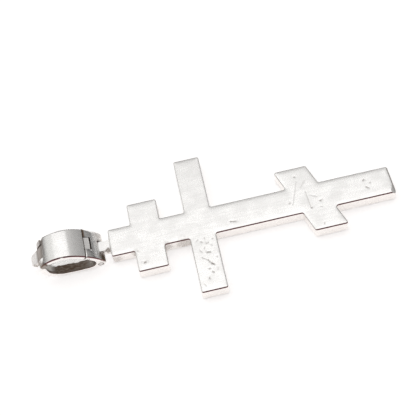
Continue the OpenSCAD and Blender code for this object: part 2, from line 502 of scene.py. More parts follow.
def ripple(piece: bpy.types.Object, depth: float, length: float) -> None:
    """Make a smooth surface slightly uneven, as filing and polishing by hand leave it.

    Args:
        piece: a piece with many small faces.
        depth: how far the surface rises and falls.
        length: rough distance between two rises.
    """
    finer, weaker = 0.3, 0.4
    for vertex in piece.data.vertices:
        swell = noise.noise(vertex.co / (length * MM))
        swell += weaker * noise.noise(vertex.co / (finer * length * MM))
        vertex.co += vertex.normal * swell * depth * MM


class WearAndPaintedLight(Enum):
    """Mesh attributes that tell a finish where its film colour, gaps in the painted edge shade, and painted
    light go.
    """

    DARKENED = "darkened"
    EDGE_SHADE_GAP = "rubbed"
    PAINTED_LIGHT_PATCH = "chalky"

    def read(self, sheet: "NodeSheet") -> Socket:
        """Socket with what the mesh says of this mark; nothing on a mesh that doesn't say."""
        return sheet.add("ShaderNodeAttribute", attribute_name=self.value).outputs["Fac"]


def mark_wear_and_painted_light(piece: bpy.types.Object, kind: WearAndPaintedLight, strength: Callable[[np.ndarray], np.ndarray]) -> None:
    """Note at each corner of a mesh how strong one mark is.

    Args:
        piece: the piece.
        kind: which mark it is.
        strength: works out the mark's strength from the corners' places in millimetres.
    """
    places = np.array([tuple(vertex.co / MM) for vertex in piece.data.vertices])
    layer = piece.data.attributes.new(kind.value, "FLOAT", "POINT")
    layer.data.foreach_set("value", strength(places))


# Nodes

class NodeSheet:
    """Adds nodes to a tree and wires their inputs."""

    COLOUR_INPUTS = (6, 7)
    COLOUR_RESULT = 2

    def __init__(self, tree: bpy.types.NodeTree) -> None:
        """Start on an empty tree."""
        self.tree = tree
        tree.nodes.clear()

    def add(
        self, kind: str, inputs: dict[str | int, Given] | None = None, **settings: object
    ) -> bpy.types.Node:
        """Add a node.

        Args:
            kind: the node's type.
            inputs: what goes into its sockets, by name or number: a value, or another node's socket.
            settings: the node's own options.

        Returns:
            The node.
        """
        node = self.tree.nodes.new(kind)
        for option, value in settings.items():
            setattr(node, option, value)
        for socket, value in (inputs or {}).items():
            if isinstance(value, Socket):
                self.tree.links.new(value, node.inputs[socket])
            else:
                node.inputs[socket].default_value = value
        return node

    def math(self, operation: str, first: Given, second: Given = 0.0, clamp: bool = False) -> Socket:
        """Work out a number from two others and return its socket."""
        node = self.add("ShaderNodeMath", {0: first, 1: second}, operation=operation, use_clamp=clamp)
        return node.outputs[0]

    def vector(self, operation: str, *terms: Given) -> Socket:
        """Work out a vector, or a distance or dot product, and return its socket."""
        node = self.add("ShaderNodeVectorMath", dict(enumerate(terms)), operation=operation)
        return node.outputs["Value" if operation in ("DISTANCE", "DOT_PRODUCT") else "Vector"]

    def axes(self, vector: Socket) -> bpy.types.bpy_prop_collection:
        """Split a vector and return the sockets of its axes."""
        return self.add("ShaderNodeSeparateXYZ", {0: vector}).outputs

    def noise(self, place: Socket, scale: float, detail: float) -> bpy.types.Node:
        """Add smooth noise."""
        return self.add("ShaderNodeTexNoise", {"Vector": place, "Scale": scale, "Detail": detail})

    def ramp(self, value: Given, low: float, high: float, start: float = 0.0, end: float = 1.0) -> Socket:
        """Turn a range of values smoothly into another range.

        Args:
            value: the value that is turned.
            low: value that becomes the start.
            high: value that becomes the end.
            start: what the values at or before low become.
            end: what the values at or past high become.

        Returns:
            Socket with the new value.
        """
        given = {"Value": value, "From Min": low, "From Max": high, "To Min": start, "To Max": end}
        node = self.add("ShaderNodeMapRange", given, interpolation_type="SMOOTHSTEP")
        return node.outputs["Result"]

    def blend(self, factor: Given, first: Given, second: Given) -> Socket:
        """Mix two colours.

        Args:
            factor: share of the second colour.
            first: the first colour, or the socket that gives it.
            second: the second colour, or its socket.

        Returns:
            Socket with the mixed colour.
        """
        inputs = {"Factor": factor}
        for number, colour in zip(self.COLOUR_INPUTS, (first, second)):
            inputs[number] = colour if isinstance(colour, Socket) else (*colour, 1)
        return self.add("ShaderNodeMix", inputs, data_type="RGBA").outputs[self.COLOUR_RESULT]


@dataclass(frozen=True)
class Bar:
    """Sizes of a flat bar: its section, and the rounding of each outer corner and of both inner ones."""

    width: float
    thickness: float
    near: float
    far: float
    inner: float


@dataclass(frozen=True)
class BarTree:
    """Geometry Nodes that sweep a flat bar with rounded corners along a path of edges."""

    name: str = "flat bar along a path"
    taper: str = "taper"
    finish: str = "Finish"
    sizes: tuple[str, ...] = ("Width", "Thickness", "Near rounding", "Far rounding", "Inner rounding")

    def choose(self, sheet: NodeSheet, test: bpy.types.Node, no: Socket, yes: Socket) -> Socket:
        """Take one of two numbers, by what a comparison says, and return its socket."""
        inputs = {"Switch": test.outputs[0], "False": no, "True": yes}
        return sheet.add("GeometryNodeSwitch", inputs, input_type="FLOAT").outputs[0]

    def build(self) -> bpy.types.GeometryNodeTree:
        """Make the node tree.

        Returns:
            The tree, with named inputs for the bar's sizes and finish.
        """
        tree = bpy.data.node_groups.new(self.name, "GeometryNodeTree")
        tree.is_modifier = True
        new = tree.interface.new_socket
        new("Path", in_out="INPUT", socket_type="NodeSocketGeometry")
        for size in self.sizes:
            new(size, in_out="INPUT", socket_type="NodeSocketFloat")
        new(self.finish, in_out="INPUT", socket_type="NodeSocketMaterial")
        new("Bar", in_out="OUTPUT", socket_type="NodeSocketGeometry")
        sheet = NodeSheet(tree)
        given = sheet.add("NodeGroupInput").outputs
        width, thickness, near, beyond, inner = (given[size] for size in self.sizes)
        path = sheet.add("GeometryNodeMeshToCurve", {"Mesh": given["Path"]})
        section = sheet.add("GeometryNodeCurvePrimitiveQuadrilateral", {"Width": width, "Height": thickness})
        spot = sheet.axes(sheet.add("GeometryNodeInputPosition").outputs[0])
        outer = sheet.add("FunctionNodeCompare", {"A": spot["Y"], "B": 0.0}, operation="LESS_THAN")
        far = sheet.add("FunctionNodeCompare", {"A": spot["X"], "B": 0.0}, operation="GREATER_THAN")
        rounding = self.choose(sheet, outer, inner, self.choose(sheet, far, near, beyond))
        fillet = {"Curve": section.outputs[0], "Radius": rounding, "Count": 5}
        rounded = sheet.add("GeometryNodeFilletCurve", fillet, mode="POLY")
        scale = sheet.add("GeometryNodeInputNamedAttribute", {"Name": self.taper}, data_type="FLOAT")
        swept = sheet.add(
            "GeometryNodeCurveToMesh",
            {
                "Curve": path.outputs[0],
                "Profile Curve": rounded.outputs[0],
                "Scale": scale.outputs["Attribute"],
                "Fill Caps": True,
            },
        )
        real = sheet.add("GeometryNodeRealizeInstances", {0: swept.outputs[0]})
        dressed = sheet.add(
            "GeometryNodeSetMaterial", {"Geometry": real.outputs[0], "Material": given[self.finish]}
        )
        sheet.add("NodeGroupOutput", {0: dressed.outputs[0]})
        return tree

    def sweep(
        self,
        name: str,
        path: np.ndarray,
        bar: Bar,
        finish: bpy.types.Material,
        taper: np.ndarray | None = None,
    ) -> bpy.types.Object:
        """Sweep a bar along a side view's path.

        Args:
            name: the object's name.
            path: the bar's middle line, as X and Z.
            bar: the bar's sizes.
            finish: the bar's material.
            taper: share of the full section at each point of the path, or None for all of it.

        Returns:
            The bar as a plain mesh.
        """
        mesh = bpy.data.meshes.new(name)
        count = len(path)
        edges = [(i, i + 1) for i in range(count - 1)]
        mesh.from_pydata([(MM * x, 0, MM * z) for x, z in path], edges, [])
        shares = mesh.attributes.new(self.taper, "FLOAT", "POINT")
        shares.data.foreach_set("value", np.ones(count) if taper is None else taper)
        made = in_scene(name, mesh)
        tree = bpy.data.node_groups.get(self.name) or self.build()
        step = made.modifiers.new("bar", "NODES")
        step.node_group = tree
        values = {size: value * MM for size, value in zip(self.sizes, astuple(bar))}
        values[self.finish] = finish
        for socket in tree.interface.items_tree:
            if socket.name in values:
                step[socket.identifier] = values[socket.name]
        bake_modifiers(made)
        face_outwards(made)
        return made


# Finishes

@dataclass(frozen=True)
class Stain:
    """A brown spot on the silver: its place, how far it reaches and how strong it is."""

    x: float
    y: float
    z: float
    reach: float
    strength: float = 0.8


@dataclass(frozen=True)
class Hollow:
    """The bail's opening, for the finish: its middle, its radius, and where the darkening inside starts."""

    x: float
    z: float
    radius: float = 4.0
    # Where the bail's inside is darkened in the film's colour.
    darkening_below: float = -0.2
    darkening_from_x: float = -26.35
    darkening_beside: float = 1.12
    thin_from_x: float = 2.6

    def away(self, sheet: NodeSheet, place: Socket) -> Socket:
        """Socket with the way from the opening's middle to a place."""
        return sheet.vector("SUBTRACT", place, (MM * self.x, 0.0, MM * self.z))


@dataclass(frozen=True)
class SilverFinish:
    """Hand-polished silver with scratches, a brown film where polishing doesn't reach, and painted light and
    shade.
    """

    name: str
    colour: tuple[float, float, float] = (0.965, 0.965, 0.96)
    dull: tuple[float, float, float] = (0.875, 0.872, 0.865)
    # Colour of the brown film, also used for painted shade on some edges and for the darkened inside of the
    # bail.
    film_and_shade: tuple[float, float, float] = (0.16, 0.118, 0.088)
    # Painted light: colour of a pale, matte patch inside the bail's far end.
    painted_light_colour: tuple[float, float, float] = (0.97, 0.95, 0.91)
    side_colour: tuple[float, float, float] = (0.935, 0.905, 0.88)
    side_film: float = 0.0
    # Painted shade: colour and strength of the dark line on the near upper edges, tinted reddish like the
    # film.
    edge: tuple[float, float, float] = (0.17, 0.035, 0.04)
    painted_edge_shade: float = 0.90
    stains: tuple[Stain, ...] = ()
    hollow: Hollow | None = None
    gloss: float = 0.20
    haze: float = 0.32
    scratch_haze: float = 0.1
    film_haze: float = 0.3
    scratch_depth: float = 0.003
    scratches: tuple[float, ...] = (12.0, 48.0, 101.0, 155.0)
    scratch_scale: tuple[float, float, float] = (260.0, 11000.0, 11000.0)
    streak_scale: tuple[float, float, float] = (1500.0, 4500.0, 4500.0)
    cloud_scale: float = 420.0
    grain_scale: float = 5200.0
    ragged_scale: float = 1800.0
    ragged: float = 1.1
    ragged_inside: float = 0.44
    lined: float = 0.35
    crevice: float = 0.3

    def wrapped(self, sheet: NodeSheet, place: Socket) -> Socket:
        """Unroll the place on a bail, so that scratches follow the metal round it.

        Args:
            sheet: the material's nodes.
            place: socket with the place on the piece.

        Returns:
            Socket with the way round the bail and the way across it.
        """
        if self.hollow is None:
            return place
        away = sheet.axes(self.hollow.away(sheet, place))
        angle = sheet.math("ARCTAN2", away["Z"], away["X"])
        round_it = sheet.math("MULTIPLY", angle, self.hollow.radius * MM)
        return sheet.add("ShaderNodeCombineXYZ", {"X": round_it, "Y": away["Y"]}).outputs[0]

    def scratch_mask(self, sheet: NodeSheet, place: Socket, angle: float) -> Socket:
        """Draw fine, nearly straight scratches that all run roughly one way.

        Args:
            sheet: the material's nodes.
            place: socket with the place on the piece.
            angle: direction of the scratches, seen from above.

        Returns:
            Socket that is 1 in a scratch and 0 beside it.
        """
        turn = (0.0, 0.0, math.radians(angle))
        lie = sheet.add("ShaderNodeMapping", {"Vector": place, "Rotation": turn, "Scale": self.scratch_scale})
        return sheet.ramp(sheet.noise(lie.outputs[0], 1.0, 1.0).outputs["Fac"], 0.60, 0.70)

    def inner_darkening(self, sheet: NodeSheet, spot: Socket, normal: Socket) -> Socket:
        """Find where the lower inside of the bail is darkened in the film's colour, all but a strip along its
        middle.

        Args:
            sheet: the material's nodes.
            spot: socket with the place on the piece, slightly shaken.
            normal: socket with the surface's direction.

        Returns:
            Socket that is 1 where the film is thick.
        """
        hollow = self.hollow
        flat = sheet.vector("MULTIPLY", hollow.away(sheet, spot), (1.0, 0.0, 1.0))
        mask = sheet.ramp(sheet.vector("DOT_PRODUCT", flat, normal), -0.3 * MM, -1.0 * MM)
        parts = sheet.axes(spot)
        low, beside = (hollow.z + hollow.darkening_below) * MM, hollow.darkening_beside * MM
        left, right = hollow.darkening_from_x * MM, (hollow.x + hollow.thin_from_x) * MM
        for edge in (
            sheet.ramp(parts["Z"], low, low - 0.5 * MM),
            sheet.ramp(sheet.math("ABSOLUTE", parts["Y"]), beside, beside + 0.12 * MM),
            sheet.ramp(parts["X"], left, left + 1.2 * MM, 0.2, 1.0),
            sheet.ramp(parts["X"], right, right + 1.6 * MM, 1.0, 0.8),
        ):
            mask = sheet.math("MULTIPLY", mask, edge)
        return mask

    def film_and_shade_mask(self, sheet: NodeSheet, coordinates: bpy.types.Node, cloud: Socket) -> Socket:
        """Find where the film's colour goes: the brown film, the darkened inside of the bail, and painted
        shade on some edges.

        Args:
            sheet: the material's nodes.
            coordinates: the texture coordinate node.
            cloud: socket with broad, soft noise.

        Returns:
            Socket that is 1 where the colour is full and 0 on bare silver.
        """
        place = coordinates.outputs["Object"]
        shut_in = sheet.add("ShaderNodeAmbientOcclusion", {"Distance": self.crevice * MM}, samples=4)
        crevice = sheet.ramp(shut_in.outputs["AO"], 0.8, 0.3)
        mask = sheet.math("MULTIPLY", crevice, sheet.ramp(cloud, 0.25, 0.6, 0.6, 1.0))
        shake = sheet.noise(place, self.ragged_scale, 3.0).outputs["Color"]
        shake = sheet.vector("SUBTRACT", shake, (0.5, 0.5, 0.5))
        spot = sheet.vector("MULTIPLY_ADD", shake, (self.ragged * MM,) * 3, place)
        mottled = sheet.ramp(sheet.noise(place, self.grain_scale, 4.0).outputs["Fac"], 0.25, 0.68, 0.3, 1.0)
        for stain in self.stains:
            away = sheet.vector("DISTANCE", spot, (MM * stain.x, MM * stain.y, MM * stain.z))
            reach = stain.reach * MM
            faded = sheet.ramp(away, reach, 0.4 * reach, 0.0, stain.strength)
            mask = sheet.math("MAXIMUM", mask, sheet.math("MULTIPLY", faded, mottled))
        if self.hollow is not None:
            steady = sheet.vector("MULTIPLY_ADD", shake, (self.ragged_inside * MM,) * 3, place)
            inner = self.inner_darkening(sheet, steady, coordinates.outputs["Normal"])
            lie = sheet.add("ShaderNodeMapping", {"Vector": place, "Scale": self.streak_scale})
            streaks = sheet.ramp(sheet.noise(lie.outputs[0], 1.0, 3.0).outputs["Fac"], 0.35, 0.6, 0.88, 1.0)
            mask = sheet.math("MAXIMUM", mask, sheet.math("MULTIPLY", inner, streaks))
        # Film, and painted shade on some edges, as the mesh gives them.
        return sheet.math("MAXIMUM", mask, WearAndPaintedLight.DARKENED.read(sheet))

    def edge_shade_mask(self, sheet: NodeSheet, normal: Socket) -> Socket:
        """Find the rounded upper edges facing the near side, for a thin line of painted shade, reddish like
        the film.

        Args:
            sheet: the material's nodes.
            normal: socket with the surface's direction.

        Returns:
            Socket with the painted line's strength.
        """
        parts = sheet.axes(normal)
        near = sheet.ramp(parts["Y"], -0.22, -0.36)
        raised = sheet.ramp(parts["Z"], 0.28, 0.46)
        # The painted edge shade is left out where the mesh says so.
        left = sheet.math("SUBTRACT", self.painted_edge_shade, WearAndPaintedLight.EDGE_SHADE_GAP.read(sheet), clamp=True)
        return sheet.math("MULTIPLY", sheet.math("MULTIPLY", near, raised), left)

    def build(self) -> bpy.types.Material:
        """Make the material.

        Returns:
            The finish as a node-based material.
        """
        material = bpy.data.materials.new(self.name)
        material.use_nodes = True
        sheet = NodeSheet(material.node_tree)
        coordinates = sheet.add("ShaderNodeTexCoord")
        place, normal = coordinates.outputs["Object"], coordinates.outputs["Normal"]
        cloud = sheet.noise(place, self.cloud_scale, 4.0).outputs["Fac"]
        grain = sheet.noise(place, self.grain_scale, 3.0).outputs["Fac"]
        unrolled = self.wrapped(sheet, place)
        scratched = self.scratch_mask(sheet, unrolled, self.scratches[0])
        for angle in self.scratches[1:]:
            scratched = sheet.math("MAXIMUM", scratched, self.scratch_mask(sheet, unrolled, angle))
        cut = sheet.math("MULTIPLY", scratched, self.lined)
        film_and_shade = self.film_and_shade_mask(sheet, coordinates, cloud)
        level = sheet.ramp(sheet.math("ABSOLUTE", sheet.axes(normal)["Z"]), 0.15, 0.6)
        side = sheet.math("MULTIPLY", sheet.math("SUBTRACT", 1.0, level), self.side_film)
        polished = sheet.blend(sheet.ramp(grain, 0.35, 0.62), self.dull, self.colour)
        bare = sheet.blend(side, sheet.blend(cut, polished, self.dull), self.side_colour)
        # Painted shade: a thin dark line on the rounded upper edges that face the near side.
        lined = sheet.blend(self.edge_shade_mask(sheet, normal), bare, self.edge)
        # Painted light: a pale, matte patch inside the bail's far end.
        chalky = WearAndPaintedLight.PAINTED_LIGHT_PATCH.read(sheet)
        toned = sheet.blend(chalky, sheet.blend(film_and_shade, lined, self.film_and_shade), self.painted_light_colour)
        rough = sheet.ramp(cloud, 0.3, 0.7, self.gloss, self.haze)
        rough = sheet.math("ADD", rough, sheet.math("MULTIPLY", scratched, self.scratch_haze))
        rough = sheet.math("ADD", rough, sheet.math("MULTIPLY", film_and_shade, self.film_haze), clamp=True)
        metal = sheet.math("SUBTRACT", 1.0, chalky)
        relief = {"Height": sheet.math("SUBTRACT", grain, cut), "Strength": 0.5}
        bump = sheet.add("ShaderNodeBump", {**relief, "Distance": self.scratch_depth * MM})
        shader = sheet.add(
            "ShaderNodeBsdfPrincipled",
            {"Base Color": toned, "Metallic": metal, "Roughness": rough, "Normal": bump.outputs[0]},
        )
        sheet.add("ShaderNodeOutputMaterial", {"Surface": shader.outputs[0]})
        return material


# The cross

@dataclass(frozen=True)
class Scratch:
    """A deep scratch, dash or pit in the cross's back, from the plate's top end and the stem's middle."""

    x: float
    y: float
    length: float = 0.0
    angle: float = 0.0
    width: float = 0.12
    depth: float = 0.03
    ragged: float = 0.9
    step: float = 0.12

    def ends(self) -> tuple[np.ndarray, np.ndarray]:
        """Both ends of the scratch's middle line."""
        half = self.length / 2 * unit(self.angle)
        return np.array([self.x, self.y]) - half, np.array([self.x, self.y]) + half

    def profile(self, points: np.ndarray) -> np.ndarray:
        """Work out how deep the scratch is, with a ragged side.

        Args:
            points: flat points on the plate.

        Returns:
            For each point, the share of the scratch's full depth.
        """
        start, end = self.ends()
        way = end - start
        share = np.clip((points - start) @ way / max(float(way @ way), 1e-9), 0, 1)
        off = np.linalg.norm(points - start - share[:, None] * way, axis=1) / self.width
        near = off < SCRATCH_REACH
        off[near] *= [1 + self.ragged * noise.noise(Vector((6 * x, 6 * y, 0.0))) for x, y in points[near]]
        return np.clip(1 - off ** 2, 0, 1) ** 2

    def grid(self) -> np.ndarray:
        """Lay out points across and along the scratch, so that the mesh can follow it.

        Returns:
            The points.
        """
        start, end = self.ends()
        aside = unit(self.angle + 90)
        steps = max(1, math.ceil(self.length / self.step))
        along = [start + (end - start) * k / steps for k in range(steps + 1)]
        rows = [p + off * self.width * aside for p in along for off in (-1.0, -0.5, 0.0, 0.5, 1.0)]
        beyond = ((start, -1.0), (start, -0.5), (end, 0.5), (end, 1.0))
        return np.array(rows + [p + off * self.width * unit(self.angle) for p, off in beyond])


WORN_BACK = (
    Scratch(19.5, -1.1, 0.9, -15, 0.14, 0.028),
    Scratch(4.9, -4.7, 0.2, 20, 0.17, 0.04),
    Scratch(4.4, -4.5, 0.1, 60, 0.11, 0.02),
    Scratch(14.8, -5.4, 0.5, -14, 0.13, 0.035),
    Scratch(14.0, -6.4, 1.1, -38, 0.08, 0.022),
    Scratch(14.75, -7.2, 1.1, -52, 0.10, 0.032),
    Scratch(15.1, -7.6, 0.3, -40, 0.14, 0.035),
    Scratch(14.4, -8.2, 0.2, 10, 0.12, 0.03),
    Scratch(14.8, -8.9, 0.4, -50, 0.12, 0.03),
    Scratch(15.6, -8.6, 0.15, 70, 0.10, 0.02),
    Scratch(14.0, -9.8, 0.1, 0, 0.14, 0.035),
    Scratch(13.2, -10.8, 0.6, -60, 0.08, 0.015),
    Scratch(13.4, -3.0, 0.4, 40, 0.08, 0.02),
    Scratch(14.0, -3.4, 0.3, -35, 0.09, 0.025),
    Scratch(14.6, -2.9, 0.3, 75, 0.08, 0.02),
    Scratch(14.9, -3.8, 0.4, 20, 0.09, 0.025),
    Scratch(15.5, -4.3, 0.3, -60, 0.09, 0.02),
    Scratch(14.3, -4.5, 0.35, 55, 0.08, 0.02),
    Scratch(13.6, -4.9, 0.6, -70, 0.07, 0.02),
    Scratch(15.8, -3.2, 0.25, 35, 0.08, 0.02),
    Scratch(15.9, -6.4, 0.15, 0, 0.10, 0.02),
    Scratch(29.9, 1.4, 4.3, 70.5, 0.06, 0.014),
    Scratch(31.4, 2.6, 1.5, 50, 0.06, 0.014),
    Scratch(31.7, -0.2, 3.0, -86, 0.07, 0.018),
    Scratch(31.9, -1.9, 0.1, 0, 0.15, 0.035),
    Scratch(33.5, -0.9, 0.1, 0, 0.15, 0.035),
    Scratch(33.4, -2.0, 0.3, -30, 0.09, 0.02),
    Scratch(33.2, -5.0, 0.3, 70, 0.11, 0.025),
    Scratch(30.5, 4.2, 0.1, 0, 0.15, 0.03),
    Scratch(28.8, -0.2, 0.1, 0, 0.13, 0.03),
    Scratch(32.6, 0.2, 1.0, -25, 0.06, 0.014),
    Scratch(40.8, 0.9, 0.3, 60, 0.15, 0.03),
    Scratch(41.1, -0.5, 0.4, -45, 0.14, 0.03),
    Scratch(41.75, 0.25, 0.2, 30, 0.12, 0.02),
)


PLATE_STAINS = (
    Stain(-4.9, -2.45, 1.2, 1.6, 0.5),
    Stain(-7.6, -2.45, 1.4, 1.3, 0.45),
    Stain(-12.4, -2.45, 1.5, 1.0, 0.6),
    Stain(-15.6, -2.4, 1.2, 1.2, 0.45),
    Stain(-16.7, -1.15, 1.6, 0.8, 1.0),
)
BAIL_STAINS = (
    Stain(-17.7, -1.8, 1.9, 1.1, 1.0),
    Stain(-17.9, 2.2, 2.2, 1.2, 0.5),
    Stain(-27.95, -1.0, 2.4, 0.8, 0.8),
    Stain(-27.3, 1.9, 3.7, 1.1, 0.8),
    Stain(-27.2, -1.9, 3.8, 0.9, 0.9),
)


@dataclass
class CrossPlate:
    """The flat cross with its slanted foot bar, and the drilled lug that is one with it."""

    stem_w: float = 4.9
    corner_r: float = 0.35
    fillet_r: float = 0.25
    top_bar: tuple[float, float, float] = (6.05, 4.8, 12.2)
    main_bar: tuple[float, float, float] = (14.45, 4.2, 24.0)
    slant_bar: tuple[float, float, float] = (32.15, 5.3, 11.8)
    slant_angle: float = 19.3
    lug_reach: float = 1.95
    lug_w: float = 1.8
    neck_h: float = 1.5
    neck_rim: float = 0.15
    neck_taper: float = 0.3
    neck_corner: float = 0.05
    eye_r: float = 0.95
    eye_rim: float = 0.12
    root_r: float = 0.5
    root_in: float = 0.05
    bore_r: float = 0.5
    rim: float = 0.25
    rim_steps: int = 4
    worn_rim: float = 0.30
    soft_edge: float = 0.04
    soft_reach: float = 1.3
    end_skew: float = 0.24
    skew_reach: float = 3.0
    corner_facet: tuple[float, float, float] = (0.72, 2.1, 28.0)
    facet_below: float = 0.05
    grid: float = 0.3
    sink: float = 0.3
    uneven: tuple[float, float] = (0.012, 6.0)
    scratches: tuple[Scratch, ...] = WORN_BACK
    scratch_film: float = 0.68
    darkest_depth: float = 0.04
    # Painted shade below the upper edge of the foot's end: all along it, and more at the near corner.
    end_edge_shade: tuple[float, float] = (0.45, 0.3)

    def __post_init__(self) -> None:
        """Take the plate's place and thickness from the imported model."""
        low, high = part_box("cross")
        self.pin = joint_place("bail_swing")
        self.thickness = (high.z - low.z) / MM
        self.top_x = float(self.pin[0]) + self.lug_reach
        self.length = high.x / MM - self.top_x

    def side(self, sign: int) -> list[tuple[float, float]]:
        """List the corners of one long side.

        Args:
            sign: 1 for the far side and -1 for the near one.

        Returns:
            The corners from the plate's top end to its foot.
        """
        stem = sign * self.stem_w / 2
        corners = [(0.0, stem)]
        for middle, width, length in (self.top_bar, self.main_bar):
            end = sign * length / 2
            corners += [(middle - width / 2, stem), (middle - width / 2, end)]
            corners += [(middle + width / 2, end), (middle + width / 2, stem)]
        middle, width, length = self.slant_bar
        lean = math.tan(math.radians(self.slant_angle))
        end = sign * length / 2
        for x, ys in ((middle - width / 2, (stem, end)), (middle + width / 2, (end, stem))):
            corners += [(x - lean * y, y) for y in ys]
        return corners + [(self.length, stem)]

    def outline(self, step: float) -> Outline:
        """Trace the plate from above, its top end at x = 0."""
        corners = self.side(-1) + list(reversed(self.side(1)))
        return Outline.of_corners(corners, self.corner_r, self.fillet_r, step)

    def rounded_off(self, distance: np.ndarray) -> np.ndarray:
        """Work out how far polishing has lowered a face that far from its edge."""
        return self.soft_edge * np.clip(1 - distance / self.soft_reach, 0, 1) ** 2

    def from_corner(self, points: np.ndarray) -> np.ndarray:
        """Distance of flat points from the foot's near corner."""
        return np.linalg.norm(points - [self.length, -self.stem_w / 2], axis=1)

    def worn(self, points: np.ndarray) -> np.ndarray:
        """Tell how much rounder the rim is: most at the foot's end and its near corner."""
        end = np.clip(1 - (self.length - points[:, 0]) / 0.6, 0, 1)
        return np.clip(0.8 * end + np.clip(1 - self.from_corner(points) / 1.2, 0, 1), 0, 1.3)

    def inner_points(self, outline: Outline, scratches: tuple[Scratch, ...]) -> np.ndarray:
        """Spread points over a face, in staggered rows and along each scratch.

        Args:
            outline: the plate's outline.
            scratches: the scratches in this face.

        Returns:
            Points that lie inside the face's rim.
        """
        low, high = outline.points.min(0), outline.points.max(0)
        rows = np.arange(low[1], high[1], self.grid * math.sqrt(3) / 2)
        columns = np.arange(low[0], high[0], self.grid)
        spread = np.array([(x + (k % 2) * self.grid / 2, y) for k, y in enumerate(rows) for x in columns])
        for scratch in scratches:
            wide = replace(scratch, width=SCRATCH_REACH * scratch.width)
            spread = spread[wide.profile(spread) == 0]
        spread = np.vstack([spread] + [scratch.grid() for scratch in scratches])
        clear = 1.4 * self.rim + 1.1 * (self.worn_rim - self.rim) * self.worn(spread)
        return spread[outline.distance(spread) > clear]

    def plate(self) -> bpy.types.Object:
        """Model the plate: a rounded rim round two faces that are nearly flat.

        Returns:
            The plate, on the table.
        """
        outline = self.outline(self.grid)
        shell = Shell()
        under = quarter_round(self.rim, self.rim_steps)
        levels = under + [(0.0, self.thickness * share) for share in (0.25, 0.5, 0.75)]
        levels += [(inset, self.thickness - below) for inset, below in reversed(under)]
        rings = []
        wear = 1 + (self.worn_rim / self.rim - 1) * self.worn(outline.points)
        for inset, z in levels:
            side = 1 if z > self.thickness / 2 else -1
            below = min(z, self.thickness - z)
            share = max(0.0, 1 - below / self.rim)
            drop = self.soft_edge * share + np.where(below < self.rim, below * (wear - 1), 0)
            flat = outline.points - (inset * wear)[:, None] * outline.outward
            rings.append(shell.ring(np.column_stack([flat, z - side * drop])))
        shell.skin(rings)
        self.face(shell, outline, rings[0], 0.0, ())
        self.face(shell, outline, rings[-1], self.thickness, self.scratches)
        made = shell.finish("worn_cross")
        ripple(made, *self.uneven)
        for vertex in made.data.vertices:
            share = max(0.0, 1 - (self.length - vertex.co.x / MM) / self.skew_reach)
            vertex.co.x += share * self.end_skew * (0.5 - vertex.co.y / MM / self.stem_w) * MM
            vertex.co.z = max(vertex.co.z, 0.0)
        shift(made, (self.top_x, 0.0))
        return made

    def face(
        self, shell: Shell, outline: Outline, ring: list[int], z: float, scratches: tuple[Scratch, ...]
    ) -> None:
        """Close the plate's rim with small triangles that follow the wear.

        Args:
            shell: the surface to add to.
            outline: the plate's outline.
            ring: the numbers of the rim's last loop.
            z: height of the face.
            scratches: the scratches in this face.
        """
        inner = self.inner_points(outline, scratches)
        drop = self.rounded_off(outline.distance(inner))
        for scratch in scratches:
            drop = drop + scratch.depth * scratch.profile(inner)
        inward = -1 if z > 0 else 1
        numbers = ring + shell.ring(np.column_stack([inner, z + inward * drop]))
        flat = [Vector(shell.corners[i][:2]) for i in numbers]
        made = geometry.delaunay_2d_cdt(flat, [], [list(range(len(ring)))], 1, 1e-6)
        sources = [numbers[origin[0]] for origin in made[3]]
        shell.faces.extend(tuple(sources[i] for i in triangle) for triangle in made[2])

    def lug(self) -> bpy.types.Object:
        """Model the lug: a neck that widens into the plate, and a round eye.

        Returns:
            The lug, in its place at the plate's top end.
        """
        half = self.lug_w / 2
        skirt = half + self.root_r + 0.1
        corners = [(-self.lug_reach, -half), (self.root_in, -half)]
        corners += [(self.root_in, -skirt), (self.sink, -skirt)]
        corners += [(x, -y) for x, y in reversed(corners)]
        neck = Outline.of_corners(corners, self.neck_corner, self.root_r, 0.08)
        steps = quarter_round(self.neck_rim, 3)
        levels = [(inset, below - self.neck_h / 2) for inset, below in steps]
        levels += [(inset, self.neck_h / 2 - below) for inset, below in reversed(steps)]
        shell = Shell()
        rings = []
        for inset, z in levels:
            flat = neck.inset(inset * self.neck_taper)
            rings.append(shell.ring(np.column_stack([flat, np.full(len(flat), z)])))
        shell.skin(rings)
        shell.cap([rings[0], rings[-1]])
        made = shell.finish("lug")
        shift(made, (self.top_x, self.pin[1]))
        eye = round_pin("eye", self.eye_r, self.lug_w, self.eye_rim)
        filed = block_above(self.neck_h / 2 + 0.02, 1.5)
        combine(eye, prism("filed", filed, 2 * self.lug_w), Cut.TAKE_AWAY)
        shift(eye, self.pin)
        combine(made, eye, Cut.JOIN)
        return made

    def corner_cut(self) -> bpy.types.Object:
        """Make the solid that flattens the foot's near corner, as rubbing has.

        Returns:
            The solid to take away.
        """
        along, across, slope = self.corner_facet
        end = self.top_x + self.length + self.end_skew
        near, height = -self.stem_w / 2, self.thickness - self.facet_below
        inner = np.array([end - along, near, height])
        outer = np.array([end - self.end_skew * across / self.stem_w, near + across, height])
        way = (outer - inner) / np.linalg.norm(outer - inner)
        level, up = np.array([way[1], -way[0], 0.0]), np.array([0, 0, 1.0])
        flat, steep = unit(slope)
        down, lift = flat * level - steep * up, steep * level + flat * up
        spare, before = 2.0, 0.1
        low = [inner - spare * way - before * down, inner - spare * way + spare * down]
        low += [outer + spare * way + spare * down, outer + spare * way - before * down]
        return slab("facet", [np.array(low), np.array(low) + lift])

